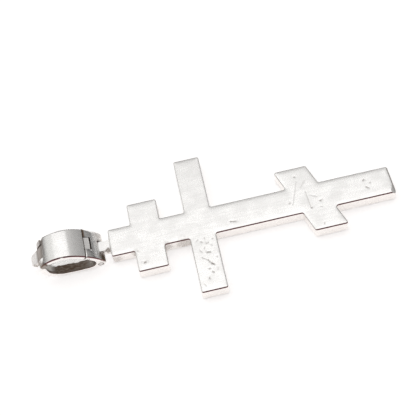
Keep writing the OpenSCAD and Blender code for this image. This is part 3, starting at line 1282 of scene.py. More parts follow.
    def build(self, finish: SilverFinish) -> bpy.types.Object:
        """Model the cross with its lug, and dress it.

        Args:
            finish: the silver's finish.

        Returns:
            The finished piece.
        """
        cross = self.plate()
        combine(cross, self.corner_cut(), Cut.TAKE_AWAY)
        combine(cross, self.lug(), Cut.JOIN)
        combine(cross, prism("bore", disc(self.pin, self.bore_r), 2 * self.lug_w), Cut.TAKE_AWAY)
        mark_wear_and_painted_light(cross, WearAndPaintedLight.DARKENED, self.darkened)
        dress(cross, finish.build())
        return cross

    def darkened(self, places: np.ndarray) -> np.ndarray:
        """Tell how dark the film's colour is at each corner of the mesh.

        Args:
            places: the corners.

        Returns:
            The strength of the film in the scratches, and of painted shade below the upper edge of the foot's
            end.
        """
        flat = places[:, :2] - [self.top_x, 0]
        end = self.length + self.end_skew * (0.5 - flat[:, 1] / self.stem_w) - flat[:, 0]
        # Painted shade: a dark line just below the upper edge of the foot's end, darker at its near corner.
        rim = between(end, 0.0, 0.30) & between(self.thickness - places[:, 2], 0.05, 0.28)
        all_along, at_corner = self.end_edge_shade
        corner = np.clip(1.3 - self.from_corner(flat) / 0.9, 0, 1)
        film_and_shade = rim * (all_along + at_corner * corner)
        for scratch in self.scratches:
            share = self.scratch_film * np.sqrt(scratch.profile(flat))
            film_and_shade = np.maximum(film_and_shade, share * (scratch.depth / self.darkest_depth) ** 1.3)
        return np.where(places[:, 2] > self.thickness / 2, film_and_shade, 0)


def joint_place(name: str) -> np.ndarray:
    """Place of a joint's axis in the side view, in millimetres."""
    (joint,) = [j for j in frame["joints"] if j["name"] == name]
    x, _, z = joint["pos_m"]
    return np.array([x, z]) / MM


# The bail

@dataclass
class BailShape:
    """The bail's side view, with the cross pin's middle at the origin: five arcs that run into each other."""

    width: float = 5.3
    wall: float = 0.75
    ear_r: float = 0.85
    shoulder_r: float = 9.8
    crown_r: float = 4.6
    toe_r: float = 2.6
    belly_r: float = 24.5
    ear_turn: float = 32.0
    shoulder_turn: float = 66.0
    crown_turn: float = 126.0
    opening_end_r: float = 1.05
    hinge_turn: float = 49.5
    hinge_set: float = 0.76
    knuckle_r: float = 0.52
    knuckle_w: float = 2.05
    hinge_pin_r: float = 0.22
    cross_pin_r: float = 0.45
    catch_turn: float = 127.0
    catch_w: float = 2.4
    catch_t: float = 0.7
    catch_lap: float = 4.0
    catch_out_turn: float = 160.0
    catch_bend: tuple[float, float] = (-2.75, 0.05)
    catch_tip: tuple[float, float] = (-3.48, -0.85)
    notch_turn: float = 192.0
    seam_gap: float = 0.07
    side_gap: float = 0.08
    pin_gap: float = 0.015
    near_rim: float = 0.31
    far_rim: float = 0.48
    inner_rim: float = 0.12
    narrower: float = 0.13
    cut_in: float = 1.6
    cut_out: float = 3.0
    spare: float = 0.2
    narrow_from: float = 1.6
    narrow_over: float = 5.4
    soft_r: float = 0.05
    uneven: tuple[float, float] = (0.014, 2.5)
    mesh_step: float = 0.22

    def __post_init__(self) -> None:
        """Work out the arcs' middles, and how far the bail tips until it touches the table."""
        self.pin = joint_place("bail_swing")
        self.ear_c = np.zeros(2)
        self.shoulder_c = (self.ear_r - self.shoulder_r) * unit(self.ear_turn)
        self.crown_c = self.shoulder_c + (self.shoulder_r - self.crown_r) * unit(self.shoulder_turn)
        self.toe_c = self.crown_c + (self.crown_r - self.toe_r) * unit(self.crown_turn)
        self.belly_c = crossing(self.toe_c, self.belly_r - self.toe_r, self.ear_c, self.belly_r - self.ear_r)
        end_r = self.opening_end_r
        self.opening_end_c = crossing(
            self.belly_c,
            self.belly_r - self.wall - end_r,
            self.shoulder_c,
            self.shoulder_r - self.wall - end_r,
        )
        self.toe_turn = heading(self.toe_c - self.belly_c) + 360
        self.belly_turn = heading(self.ear_c - self.belly_c) + 360
        self.hinge_c = self.shoulder_c + (self.shoulder_r - self.knuckle_r) * unit(self.hinge_turn)
        drop = (self.belly_r - float(self.pin[1])) / float(np.linalg.norm(self.belly_c))
        self.tip = 180 - math.degrees(math.asin(drop)) - heading(self.belly_c)

    def outer(self, step: float) -> Outline:
        """Trace the bail's outer surface.

        Args:
            step: longest distance between two points.

        Returns:
            The outline.
        """
        arcs = [
            Arc(self.ear_c, self.ear_r, self.belly_turn - 360, self.ear_turn),
            Arc(self.shoulder_c, self.shoulder_r, self.ear_turn, self.shoulder_turn),
            Arc(self.crown_c, self.crown_r, self.shoulder_turn, self.crown_turn),
            Arc(self.toe_c, self.toe_r, self.crown_turn, self.toe_turn),
            Arc(self.belly_c, self.belly_r, self.toe_turn, self.belly_turn),
        ]
        return Outline.of_arcs(arcs, step)

    def opening(self, step: float) -> Outline:
        """Trace the opening, one wall further in, with an arc of its own next to the ears.

        Args:
            step: longest distance between two points.

        Returns:
            The outline.
        """
        top = heading(self.opening_end_c - self.shoulder_c)
        low = heading(self.opening_end_c - self.belly_c) + 360
        arcs = [
            Arc(self.opening_end_c, self.opening_end_r, low - 360, top, True),
            Arc(self.shoulder_c, self.shoulder_r - self.wall, top, self.shoulder_turn, True),
            Arc(self.crown_c, self.crown_r - self.wall, self.shoulder_turn, self.crown_turn, True),
            Arc(self.toe_c, self.toe_r - self.wall, self.crown_turn, self.toe_turn, True),
            Arc(self.belly_c, self.belly_r - self.wall, self.toe_turn, low, True),
        ]
        return Outline.of_arcs(arcs, step)

    def at_hinge(self, points: list[tuple[float, float]]) -> np.ndarray:
        """Place points that are given from the hinge pin, Y outwards and the arm towards -X."""
        return self.hinge_c + turned(np.array(points, float), self.hinge_turn - 90)

    def at_catch(self, points: list[tuple[float, float]]) -> np.ndarray:
        """Place points that are given from the far end's middle, Y outwards and the arm towards +X."""
        return self.toe_c + turned(np.array(points, float), self.catch_turn - 90)

    def arm_stretch(self, gap: float) -> np.ndarray:
        """Outline the space between both seams.

        Args:
            gap: how much longer the space is at each end.

        Returns:
            The space's corners in the side view.
        """
        seam = gap - self.hinge_set
        hinge_end = [(seam, self.knuckle_r - self.cut_in), (seam, self.knuckle_r + self.cut_out)]
        catch_end = [(-gap, self.toe_r + self.cut_out), (-gap, self.toe_r - self.cut_in)]
        return np.vstack([self.at_hinge(hinge_end), self.at_catch(catch_end)])

    def wall_path(self, start: float, end: float, step: float, depth: float) -> np.ndarray:
        """Follow the wall from the shoulder over the crown to the far end.

        Args:
            start: outward direction where the path starts.
            end: outward direction where it ends.
            step: longest distance between two points.
            depth: how far below the outer surface the path runs.

        Returns:
            The path's points.
        """
        stretches = [
            (self.shoulder_c, self.shoulder_r, -90.0, self.shoulder_turn),
            (self.crown_c, self.crown_r, self.shoulder_turn, self.crown_turn),
            (self.toe_c, self.toe_r, self.crown_turn, 270.0),
        ]
        arcs = [Arc(centre, r - depth, max(start, low), min(end, high)) for centre, r, low, high in stretches]
        needed = [arc for arc in arcs if arc.end > arc.start]
        traced = [arc.trace(step)[0] for arc in needed]
        return np.vstack([points[:-1] for points in traced[:-1]] + [traced[-1]])

    def lay(self, piece: bpy.types.Object) -> None:
        """Narrow a piece's far side towards the far end, and move the piece to where the bail lies.

        Args:
            piece: the piece, with the cross pin's middle at the origin.
        """
        for vertex in piece.data.vertices:
            share = min(1.0, max(0.0, (-self.narrow_from - vertex.co.x / MM) / self.narrow_over))
            if vertex.co.y > 0:
                vertex.co.y *= 1 - self.narrower * share * share * (3 - 2 * share)
        tip = Matrix.Rotation(math.radians(-self.tip), 4, "Y")
        piece.data.transform(Matrix.Translation((self.pin[0] * MM, 0, self.pin[1] * MM)) @ tip)

    def corner_cut(self, side: int, radius: float, ends_at: float, way: int) -> bpy.types.Object:
        """Make the solid that rounds a corner of the wall where it ends at the catch's seam.

        Args:
            side: 1 for the far corner and -1 for the near one.
            radius: the corner's radius, seen along the wall's thickness.
            ends_at: where the wall ends, from the seam.
            way: 1 for the wall of the arm and -1 for that of the hoop.

        Returns:
            The solid to take away.
        """
        spare = 0.4
        edge = self.width / 2 - radius
        arc = [(radius - radius * unit(t)[0], edge + radius * unit(t)[1]) for t in np.linspace(0, 90, 13)]
        border = arc + [(radius, self.width / 2 + spare), (-spare, self.width / 2 + spare), (-spare, edge)]
        loops = []
        for depth in (-2 * self.wall, self.wall):
            placed = self.at_catch([(ends_at + way * along, self.toe_r + depth) for along, _ in border])
            loops.append([(x, side * y, z) for (x, z), (_, y) in zip(placed, border)])
        return slab("corner", loops)

    def pin_hole(self, centre: np.ndarray, radius: float) -> bpy.types.Object:
        """Make the solid that drills a hole right across the bail."""
        return prism("drill", disc(centre, radius), 2 * self.width)


@dataclass
class BailHoop:
    """The rigid part of the bail: belly, far end, and the two ears that hold both pins."""

    shape: BailShape
    rows: tuple[float, ...] = (0.35, 0.72, 0.88)
    lug_w: float = 1.8
    lug_neck: float = 1.5
    lug_eye: float = 0.95
    swing: tuple[float, float] = (-90.0, 50.0)
    far_corner: float = 1.0
    near_corner: float = 0.3
    touch_gap: float = 0.007
    thick_mouth: float = 0.34
    mouth_depth: float = 0.95
    mouth_from: tuple[float, float] = (145.0, 40.0)
    mouth_to: tuple[float, float] = (285.0, 35.0)

    def half(self, rim: float) -> list[tuple[float, float]]:
        """Follow half of a wall's section from its side face to the middle.

        Args:
            rim: radius of the rounding next to the side face.

        Returns:
            For each loop, how far it is set in, and its distance from the bail's middle.
        """
        edge = self.shape.width / 2
        rounding = [(inset, edge - below) for inset, below in quarter_round(rim, 5)]
        return rounding + [(0.0, (edge - rim) * share) for share in reversed(self.rows)]

    def ring(self) -> bpy.types.Object:
        """Model the whole ring before anything is cut: two walls of loops, joined by flat side faces.

        Returns:
            The ring.
        """
        shape = self.shape
        shell = Shell()
        ends = []
        walls = (
            (shape.outer(shape.mesh_step), shape.near_rim, shape.far_rim),
            (shape.opening(shape.mesh_step), shape.inner_rim, shape.inner_rim),
        )
        for outline, near_rim, far_rim in walls:
            thicker = self.thick_mouth * self.far_end(outline) * (near_rim == shape.inner_rim)
            rings = []
            for inset, y in self.half(near_rim):
                share = np.clip(1 - (shape.width / 2 - y - near_rim) / self.mouth_depth, 0, 1)
                side = outline.points + (thicker * share - inset)[:, None] * outline.outward
                rings.append(shell.ring(stood_up(side, -y)))
            for inset, y in reversed(self.half(far_rim)):
                rings.append(shell.ring(stood_up(outline.inset(inset), y)))
            shell.skin(rings)
            ends.append((rings[0], rings[-1]))
        for outer, inner in zip(*ends):
            numbers = outer + inner
            places = [Vector((shell.corners[i][0], shell.corners[i][2], 0)) for i in numbers]
            for triangle in geometry.tessellate_polygon([places[:len(outer)], places[len(outer):]]):
                shell.faces.append(tuple(numbers[i] for i in triangle))
        made = shell.finish("worn_hoop")
        ripple(made, *shape.uneven)
        return made

    def far_end(self, outline: Outline) -> np.ndarray:
        """Tell which points of an outline lie round the low corner of the far end.

        Args:
            outline: the outline.

        Returns:
            For each point, a share that fades to 0 on both sides of that corner.
        """
        turn = headings(outline.points - self.shape.toe_c) % 360
        start, over = self.mouth_from
        end, back_over = self.mouth_to
        return fade_in(turn, start, over) * fade_in(-turn, -end, back_over)

    def lug_sweep(self) -> list[np.ndarray]:
        """Outline what the lug sweeps while the bail swings from one limit to the other.

        Returns:
            Two side views: round the eye, and the wedge of the neck.
        """
        gap = self.shape.side_gap
        reach = self.lug_neck / 2 + gap
        front, back = self.swing
        far = 12.0
        back_edge = reach * unit(back + 90)
        front_edge = reach * unit(front - 90)
        wedge = [back_edge, back_edge + far * unit(back), (far, far), (far, -far)]
        wedge += [front_edge + far * unit(front), front_edge]
        return [disc(np.zeros(2), self.lug_eye + gap), np.array([tuple(p) for p in wedge])]

    def build(self, finish: SilverFinish) -> bpy.types.Object:
        """Model the hoop and dress it.

        Args:
            finish: the silver's finish.

        Returns:
            The finished piece.
        """
        shape = self.shape
        gap = shape.side_gap
        hoop = self.ring()
        boss = round_pin("boss", shape.knuckle_r - gap / 2, shape.width - 2 * shape.far_rim, shape.soft_r)
        shift(boss, shape.hinge_c)
        combine(hoop, boss, Cut.JOIN)
        combine(hoop, prism("seams", shape.arm_stretch(shape.seam_gap), 2 * shape.width), Cut.TAKE_AWAY)
        combine(hoop, self.shoulder_cut(), Cut.TAKE_AWAY)
        left, right = -shape.hinge_set - shape.spare, shape.knuckle_r + gap + shape.pin_gap
        low, high = -shape.cut_in, shape.cut_in
        window = shape.at_hinge([(left, low), (right, low), (right, high), (left, high)])
        combine(hoop, prism("window", window, shape.knuckle_w + 2 * gap), Cut.TAKE_AWAY)
        for outline in self.lug_sweep():
            combine(hoop, prism("slot", outline, self.lug_w + 2 * gap), Cut.TAKE_AWAY)
        reach = 8.0
        wedge = np.array([np.zeros(2), reach * unit(shape.catch_turn), reach * unit(shape.notch_turn)])
        combine(hoop, prism("notch", shape.toe_c + wedge, shape.catch_w + 2 * gap), Cut.TAKE_AWAY)
        for side, radius in ((1, self.far_corner), (-1, self.near_corner)):
            combine(hoop, shape.corner_cut(side, radius, -shape.seam_gap, -1), Cut.TAKE_AWAY)
        combine(hoop, shape.pin_hole(shape.ear_c, shape.cross_pin_r + shape.pin_gap), Cut.TAKE_AWAY)
        combine(hoop, shape.pin_hole(shape.hinge_c, shape.hinge_pin_r + shape.pin_gap), Cut.TAKE_AWAY)
        soften_edges(hoop)
        mark_wear_and_painted_light(hoop, WearAndPaintedLight.DARKENED, self.darkened)
        # Painted light: a pale, matte patch inside the far end.
        mark_wear_and_painted_light(hoop, WearAndPaintedLight.PAINTED_LIGHT_PATCH, self.chalky)
        shape.lay(hoop)
        dress(hoop, finish.build())
        return hoop

    def seam_film(self, flat: np.ndarray, across: np.ndarray) -> np.ndarray:
        """Tell how dark the film is on the rounded shoulder at the hinge's seam.

        Args:
            flat: the mesh's corners in the bail's side view.
            across: how far each lies across the bail.

        Returns:
            The film's strength, weaker on the near half.
        """
        shape = self.shape
        away = turned(flat - shape.hinge_c, 90 - shape.hinge_turn)
        rounded = (np.abs(np.linalg.norm(away, axis=1) - self.shoulder_r()) < 0.05) & (away[:, 1] > -0.3)
        shoulder = np.where(across > 0, 1.0, 0.1) * fade_in(-away[:, 0], 0.12, 0.2)
        return rounded * np.where(away[:, 0] < -0.6, 0.9, shoulder)

    def darkened(self, places: np.ndarray) -> np.ndarray:
        """Tell how dark the film is at each corner of the mesh.

        Args:
            places: the corners, in the bail's side view and across it.

        Returns:
            The film's strength: at the hinge's seam, beside the catch, on the near pin ear, and on the
            inner edge of the near mouth at the far end.
        """
        shape = self.shape
        flat, across = places[:, (0, 2)], places[:, 1]
        turn = headings(flat - shape.toe_c)
        past_seam = turn > shape.catch_turn - 2
        far_ear = past_seam * (across > 1.2) * np.clip((shape.catch_turn + 20 - turn) / 10, 0.7, 1)
        near_ear = (past_seam & (turn < shape.catch_turn + 30)) * fade_in(-across, 1.7, 0.4)
        end = fade_in(flat[:, 0], 0.1, 0.35) * fade_in(flat[:, 1], -0.35, 0.3)
        pin_ear = end * between(across, -2.45, -1.1)
        mouth = between(self.depth_inside(flat), -0.4, 0.02) & between(shape.width / 2 + across, 0.10, 0.5)
        low_edge = mouth & between(turn % 360, 188, 290)
        films = [self.seam_film(flat, across), 0.75 * far_ear, 0.75 * near_ear, pin_ear, 0.9 * low_edge]
        return np.max(films, axis=0)

    def chalky(self, places: np.ndarray) -> np.ndarray:
        """Tell where a pale, matte patch of painted light lies inside the far end.

        Args:
            places: the mesh's corners, in the bail's side view and across it.

        Returns:
            The patch's strength at each corner, none on the near mouth itself.
        """
        flat = places[:, (0, 2)]
        wall = between(self.depth_inside(flat), -0.4, 0.06) & (places[:, 1] > 0.5 - self.shape.width / 2)
        return 0.9 * wall * fade_in(self.shape.toe_c[0] - flat[:, 0], 0.9, 0.35)

    def depth_inside(self, flat: np.ndarray) -> np.ndarray:
        """Distance of points of the side view from the far end's inner wall, negative in the opening."""
        return np.linalg.norm(flat - self.shape.toe_c, axis=1) - self.shape.toe_r + self.shape.wall

    def shoulder_r(self) -> float:
        """Radius of the rounded shoulder, round the hinge pin."""
        return self.shape.hinge_set - self.shape.seam_gap - self.touch_gap

    def shoulder_cut(self) -> bpy.types.Object:
        """Make the solid that rounds the shoulder at the seam, so that the arm's end passes over it.

        Returns:
            The solid to take away.
        """
        shape = self.shape
        left = -shape.hinge_set - shape.spare
        arc = [tuple(self.shoulder_r() * unit(turn)) for turn in np.linspace(90, 180, 19)]
        corner = [(left, 0.0), (left, shape.cut_out), (0.0, shape.cut_out)]
        return prism("shoulder", shape.at_hinge(arc + corner), 2 * shape.width)


@dataclass
class BailArm:
    """The part of the bail that opens, with its knuckle and its thumb catch."""

    shape: BailShape
    bars: BarTree
    tip_l: float = 0.38
    lip_bulge: float = 0.22
    lip_back: float = 0.42
    lip_power: float = 2.4
    far_corner: float = 1.1
    near_corner: float = 0.45
    bridge_l: float = 0.3
    groove: float = 0.3
    knuckle_up: float = 0.07
    knuckle_rim: float = 0.06
    filed_off: float = 0.08
    flat_tilt: float = 17.0
    outer_rim: float = 0.25
    spare_turns: tuple[float, float] = (2.0, 12.0)
    stations: int = 60
    smoothings: int = 30
    half_catch: float = 1.22

    def darkened(self, places: np.ndarray) -> np.ndarray:
        """Tell how dark the film's colour is at each corner of the mesh.

        Args:
            places: the corners, in the bail's side view and across it.

        Returns:
            The film's strength: most on the arm's end at the hinge and on the steep part of the catch, and a
            little beside the catch and on the knuckle; also painted shade along the far corner's rim.
        """
        shape = self.shape
        flat, across = places[:, (0, 2)], places[:, 1]
        away = turned(flat - shape.hinge_c, 90 - shape.hinge_turn)
        in_seam = (np.abs(away[:, 0] + shape.hinge_set) < 0.02) & (away[:, 1] > -0.5)
        knuckle = fade_in(-away[:, 0], 0.3, 0.1) * (away[:, 0] > -0.6) * (away[:, 1] > 0)
        from_toe = flat - shape.toe_c
        turn = headings(from_toe) % 360
        steep = fade_in(turn, shape.catch_turn - 6, 8) * (0.76 - 0.5 * fade_in(-from_toe[:, 0], 2.55, 0.3))
        end = fade_in(turn, shape.catch_turn - 5, 5) * (turn < shape.catch_turn + 1)
        outside = self.outside(from_toe)
        along, _ = turned(from_toe, 90 - shape.catch_turn).T
        corner = np.column_stack([self.far_corner - along, across - shape.width / 2 + self.far_corner])
        beyond = np.linalg.norm(np.clip(corner, 0, None), axis=1)
        # Painted shade: a dark line round the rim of the far corner, in the film's colour.
        rim = (across > 0.4) & between(along, -0.02, self.far_corner)
        rim = rim * fade_in(beyond, self.far_corner - 0.16, 0.08)
        catch = outside * (np.abs(across) < self.half_catch) * steep
        return np.max([0.8 * in_seam, catch, 0.15 * outside * end, 0.1 * knuckle, 0.85 * rim], axis=0)

    def rubbed(self, places: np.ndarray) -> np.ndarray:
        """Tell where the painted dark edge line is left out: on the catch, and at a nick in the near edge.

        Args:
            places: the mesh's corners, in the bail's side view and across it.

        Returns:
            How much of the painted line is left out at each corner.
        """
        from_toe = places[:, (0, 2)] - self.shape.toe_c
        catch = (np.abs(places[:, 1]) < self.half_catch) & self.outside(from_toe) & (from_toe[:, 0] < 0)
        nick = np.linalg.norm(places - [-5.37, -2.6, 4.47], axis=1)
        return np.maximum(catch, np.clip(1.6 - nick / 0.2, 0, 1))

    def outside(self, from_toe: np.ndarray) -> np.ndarray:
        """Tell which points, given from the far end's middle, lie near or past its outer surface."""
        return np.linalg.norm(from_toe, axis=1) > self.shape.toe_r - 0.3

    def catch_path(self) -> tuple[np.ndarray, np.ndarray]:
        """Follow the catch: out over the notch, down, and to a rounded tip.

        Returns:
            The path's points, and at each the share of the full section.
        """
        shape = self.shape
        turns = np.linspace(shape.catch_turn - shape.catch_lap, shape.catch_out_turn, 4)
        stations = [(shape.toe_r - shape.wall / 2) * unit(turn) for turn in turns]
        bend, tip = np.array(shape.catch_bend), np.array(shape.catch_tip)
        onwards = (tip - bend) / np.linalg.norm(tip - bend)
        stations = shape.toe_c + np.array(stations + [bend, tip + shape.catch_t / 2 * onwards])
        lengths = np.concatenate([[0], np.cumsum(np.linalg.norm(np.diff(stations, axis=0), axis=1))])
        along = np.linspace(0, lengths[-1], self.stations)
        path = np.column_stack([np.interp(along, lengths, stations[:, k]) for k in (0, 1)])
        for _ in range(self.smoothings):
            path[1:-1] = (path[:-2] + 2 * path[1:-1] + path[2:]) / 4
        left = np.clip((lengths[-1] - along) / self.tip_l, 0.02, 1)
        return path, np.sqrt(1 - (1 - left) ** 2)

    def round_lip(self, tongue: bpy.types.Object) -> None:
        """Draw the middle of the catch's lip out and its sides back, so that its end is round from above.

        Args:
            tongue: the catch.
        """
        shape = self.shape
        bend, tip = shape.toe_c + shape.catch_bend, shape.toe_c + shape.catch_tip
        length = float(np.linalg.norm(tip - bend))
        way = (tip - bend) / length
        for vertex in tongue.data.vertices:
            place = np.array([vertex.co.x, vertex.co.z]) / MM
            share = min(1.0, max(0.0, float((place - bend) @ way) / length))
            aside = abs(vertex.co.y) / MM / (shape.catch_w / 2)
            out = self.lip_bulge - (self.lip_bulge + self.lip_back) * aside ** self.lip_power
            move = share * out * MM
            vertex.co += Vector((way[0] * move, 0, way[1] * move))

    def build(self, finish: SilverFinish) -> bpy.types.Object:
        """Model the arm and dress it.

        Args:
            finish: the silver's finish.

        Returns:
            The finished piece.
        """
        shape = self.shape
        silver = finish.build()
        band = Bar(shape.width, shape.wall, shape.near_rim, shape.far_rim, shape.inner_rim)
        early, late = self.spare_turns
        middle = shape.wall_path(shape.hinge_turn - early, shape.catch_turn + late, 0.2, shape.wall / 2)
        arm = self.bars.sweep("worn_arm", middle, band, silver)
        ripple(arm, *shape.uneven)
        combine(arm, prism("seams", shape.arm_stretch(0.0), 2 * shape.width), Cut.KEEP_COMMON)
        for side, radius in ((1, self.far_corner), (-1, self.near_corner)):
            combine(arm, shape.corner_cut(side, radius, 0.0, 1), Cut.TAKE_AWAY)
        low = shape.wall - self.groove
        narrow = Bar(shape.knuckle_w, low, shape.soft_r, shape.soft_r, shape.soft_r)
        reach = math.degrees((shape.hinge_set + self.bridge_l) / shape.shoulder_r)
        under = shape.wall_path(shape.hinge_turn, shape.hinge_turn + reach, 0.15, self.groove + low / 2)
        combine(arm, self.bars.sweep("bridge", under, narrow, silver), Cut.JOIN)
        combine(arm, self.knuckle(), Cut.JOIN)
        path, taper = self.catch_path()
        tongue = Bar(shape.catch_w, shape.catch_t, self.outer_rim, self.outer_rim, shape.inner_rim)
        catch = self.bars.sweep("tongue", path, tongue, silver, taper)
        self.round_lip(catch)
        combine(arm, catch, Cut.JOIN)
        combine(arm, shape.pin_hole(shape.hinge_c, shape.hinge_pin_r + shape.pin_gap), Cut.TAKE_AWAY)
        soften_edges(arm)
        mark_wear_and_painted_light(arm, WearAndPaintedLight.DARKENED, self.darkened)
        # Where the painted dark edge line is left out.
        mark_wear_and_painted_light(arm, WearAndPaintedLight.EDGE_SHADE_GAP, self.rubbed)
        shape.lay(arm)
        dress(arm, silver)
        return arm

    def knuckle(self) -> bpy.types.Object:
        """Model the knuckle round the hinge pin, with the flat that a file has left on it.

        Returns:
            The knuckle.
        """
        shape = self.shape
        made = round_pin("knuckle", shape.knuckle_r + self.knuckle_up, shape.knuckle_w, self.knuckle_rim)
        shift(made, shape.hinge_c)
        flat = turned(block_above(shape.knuckle_r - self.filed_off, 1.0), self.flat_tilt)
        combine(made, prism("filed", shape.at_hinge(flat), 2 * shape.knuckle_w), Cut.TAKE_AWAY)
        return made


@dataclass
class BailPin:
    """One of the bail's two pins, riveted and filed nearly flush."""

    shape: BailShape
    name: str
    centre: np.ndarray
    radius: float
    rounding: float
    dome: float

    def build(self, finish: SilverFinish) -> bpy.types.Object:
        """Model the pin and dress it.

        Args:
            finish: the wire's finish.

        Returns:
            The finished piece.
        """
        pin = round_pin(self.name, self.radius, self.shape.width - 2 * self.dome, self.rounding, self.dome)
        shift(pin, self.centre)
        mark_wear_and_painted_light(pin, WearAndPaintedLight.DARKENED, self.darkened)
        self.shape.lay(pin)
        dress(pin, finish.build())
        return pin

    def darkened(self, places: np.ndarray) -> np.ndarray:
        """Tell how dark the film is at each corner of the mesh: most round the pin's ends."""
        share = np.linalg.norm(places[:, (0, 2)] - self.centre, axis=1) / self.radius
        return 0.3 + 0.45 * fade_in(share, 0.6, 0.3)


# The studio

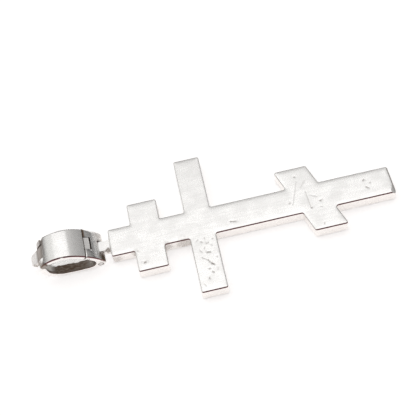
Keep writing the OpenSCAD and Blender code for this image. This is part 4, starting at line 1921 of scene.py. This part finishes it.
@dataclass(frozen=True)
class Studio:
    """A white table under one large soft light, seen from above the pendant's near side."""

    azimuth: float = -1.0
    elevation: float = 60.0
    roll: float = -12.0
    distance: float = 202.8
    aim: tuple[float, float] = (-0.06, 3.53)
    lens: float = 110.6
    table: tuple[float, float, float] = (0.93, 0.93, 0.93)
    table_glow: float = 0.52
    light_height: float = 600.0
    light_elevation: float = 80.0
    light_size: tuple[float, float] = (630.0, 525.0)
    light_aside: float = -42.0
    light_radiance: float = 0.45
    sky: tuple[tuple[float, float], ...] = (
        (0.0, 0.10), (0.12, 0.16), (0.25, 0.30), (0.43, 0.36), (0.6, 0.5), (0.75, 0.62), (0.95, 0.8)
    )
    room_tint: tuple[float, float, float] = (1.0, 0.98, 0.96)
    left_wall: tuple[float, float, float] = (0.80, 0.79, 0.77)
    near_wall: tuple[float, float, float] = (0.50, 0.475, 0.465)
    near_ceiling: tuple[float, float, float] = (0.10, 0.05, 0.05)

    def camera(self) -> None:
        """Set up the camera at the photograph's angle."""
        az, el, roll = (math.radians(angle) for angle in (self.azimuth, self.elevation, self.roll))
        back = Vector((math.sin(az) * math.cos(el), -math.cos(az) * math.cos(el), math.sin(el)))
        right = Vector((math.cos(az), math.sin(az), 0))
        up = back.cross(right)
        side = math.cos(roll) * right + math.sin(roll) * up
        top = -math.sin(roll) * right + math.cos(roll) * up
        lens = bpy.data.cameras.new("camera")
        lens.lens = self.lens
        lens.clip_start, lens.clip_end = 0.01, 10.0
        made = in_scene("camera", lens)
        made.matrix_world = Matrix((side, top, back)).transposed().to_4x4()
        made.location = MM * (Vector((*self.aim, 0)) + self.distance * back)
        bpy.context.scene.camera = made

    def floor(self) -> None:
        """Lay the white table."""
        shell = Shell()
        half = 4000.0
        corners = [(-half, -half, 0.0), (half, -half, 0.0), (half, half, 0.0), (-half, half, 0.0)]
        shell.cap([shell.ring(corners)])
        made = shell.finish("table")
        material = bpy.data.materials.new("white table")
        material.use_nodes = True
        sheet = NodeSheet(material.node_tree)
        shader = sheet.add(
            "ShaderNodeBsdfPrincipled",
            {
                "Base Color": (*self.table, 1.0), "Roughness": 0.9, "Specular IOR Level": 0.1,
                "Emission Color": (1.0, 1.0, 1.0, 1.0), "Emission Strength": self.table_glow,
            },
        )
        sheet.add("ShaderNodeOutputMaterial", {"Surface": shader.outputs[0]})
        made.data.materials.append(material)

    def light(self) -> None:
        """Hang the soft light over the table's far side."""
        size_x, size_y = (MM * size for size in self.light_size)
        lamp = bpy.data.lights.new("soft light", "AREA")
        lamp.shape = "RECTANGLE"
        lamp.size, lamp.size_y = size_x, size_y
        lamp.energy = self.light_radiance * math.pi * size_x * size_y
        made = in_scene("soft light", lamp)
        lift = math.radians(self.light_elevation)
        way = Vector((0, math.cos(lift), math.sin(lift)))
        made.location = (way * self.light_height + Vector((self.light_aside, 0, 0))) * MM
        made.rotation_mode = "QUATERNION"
        made.rotation_quaternion = way.to_track_quat("Z", "Y")

    def room(self) -> None:
        """Surround the table with a pale room that is dark only overhead on the near side."""
        world = bpy.data.worlds.new("room")
        world.use_nodes = True
        bpy.context.scene.world = world
        sheet = NodeSheet(world.node_tree)
        way = sheet.add("ShaderNodeTexCoord").outputs["Generated"]
        parts = sheet.axes(way)
        steps = sheet.add("ShaderNodeValToRGB", {"Fac": parts["Z"]})
        stops = steps.color_ramp.elements
        while len(stops) < len(self.sky):
            stops.new(0.5)
        for stop, (height, grey) in zip(stops, self.sky):
            stop.position = height
            stop.color = (*(grey * tint for tint in self.room_tint), 1.0)
        left = sheet.math("MULTIPLY", sheet.ramp(parts["X"], -0.15, -0.5), sheet.ramp(parts["Z"], 0.28, 0.5))
        wall = sheet.blend(left, steps.outputs[0], self.left_wall)
        near = sheet.ramp(parts["Y"], -0.12, -0.30)
        dim = sheet.blend(sheet.ramp(parts["Z"], 0.5, 0.72), self.near_wall, self.near_ceiling)
        seen = sheet.blend(near, wall, dim)
        direct = sheet.add("ShaderNodeLightPath").outputs["Is Camera Ray"]
        shown = sheet.blend(direct, seen, (1.0, 1.0, 1.0))
        glow = sheet.add("ShaderNodeBackground", {"Color": shown, "Strength": 1.0})
        sheet.add("ShaderNodeOutputWorld", {"Surface": glow.outputs[0]})

    def build(self) -> None:
        """Set up camera, table, light and room."""
        self.camera()
        self.floor()
        self.light()
        self.room()
        bpy.context.scene.view_settings.view_transform = "Standard"


def settle(piece: bpy.types.Object, node: str, body: str) -> None:
    """Put a finished piece on its body in place of its node, and report it.

    Args:
        piece: the finished piece.
        node: the node that it stands for.
        body: the body that it moves with.
    """
    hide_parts(node)
    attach(piece, body)
    low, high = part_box(node)
    corners = np.array([tuple(vertex.co) for vertex in piece.data.vertices])
    off = max(np.abs(corners.min(0) - low).max(), np.abs(corners.max(0) - high).max()) / MM
    triangles = sum(len(face.vertices) - 2 for face in piece.data.polygons)
    LOG.info("%s: %d triangles, box within %.3f mm of its node", piece.name, triangles, off)


def main() -> None:
    """Build the studio and the pendant, piece by piece."""
    logging.basicConfig(level=logging.INFO, format="%(name)s: %(message)s")
    Studio().build()
    shape = BailShape()
    plate_silver = SilverFinish("plate silver", side_film=1.0, stains=PLATE_STAINS)
    bail_silver = SilverFinish(
        "bail silver",
        side_film=0.8,
        stains=BAIL_STAINS,
        hollow=Hollow(x=-23.9, z=2.6),
        gloss=0.13,
        haze=0.24,
    )
    wire = SilverFinish("pin silver", gloss=0.2, haze=0.35)
    settle(CrossPlate().build(plate_silver), "cross", "cross")
    settle(BailHoop(shape).build(bail_silver), "bail_hoop", "bail")
    settle(BailArm(shape, BarTree()).build(bail_silver), "bail_arm", "arm")
    cross_pin = BailPin(shape, "worn_cross_pin", shape.ear_c, shape.cross_pin_r, rounding=0.06, dome=0.02)
    settle(cross_pin.build(wire), "cross_pin", "bail")
    hinge_pin = BailPin(shape, "worn_hinge_pin", shape.hinge_c, shape.hinge_pin_r, rounding=0.03, dome=0.0)
    settle(hinge_pin.build(wire), "hinge_pin", "bail")


if __name__ == "__main__":
    main()
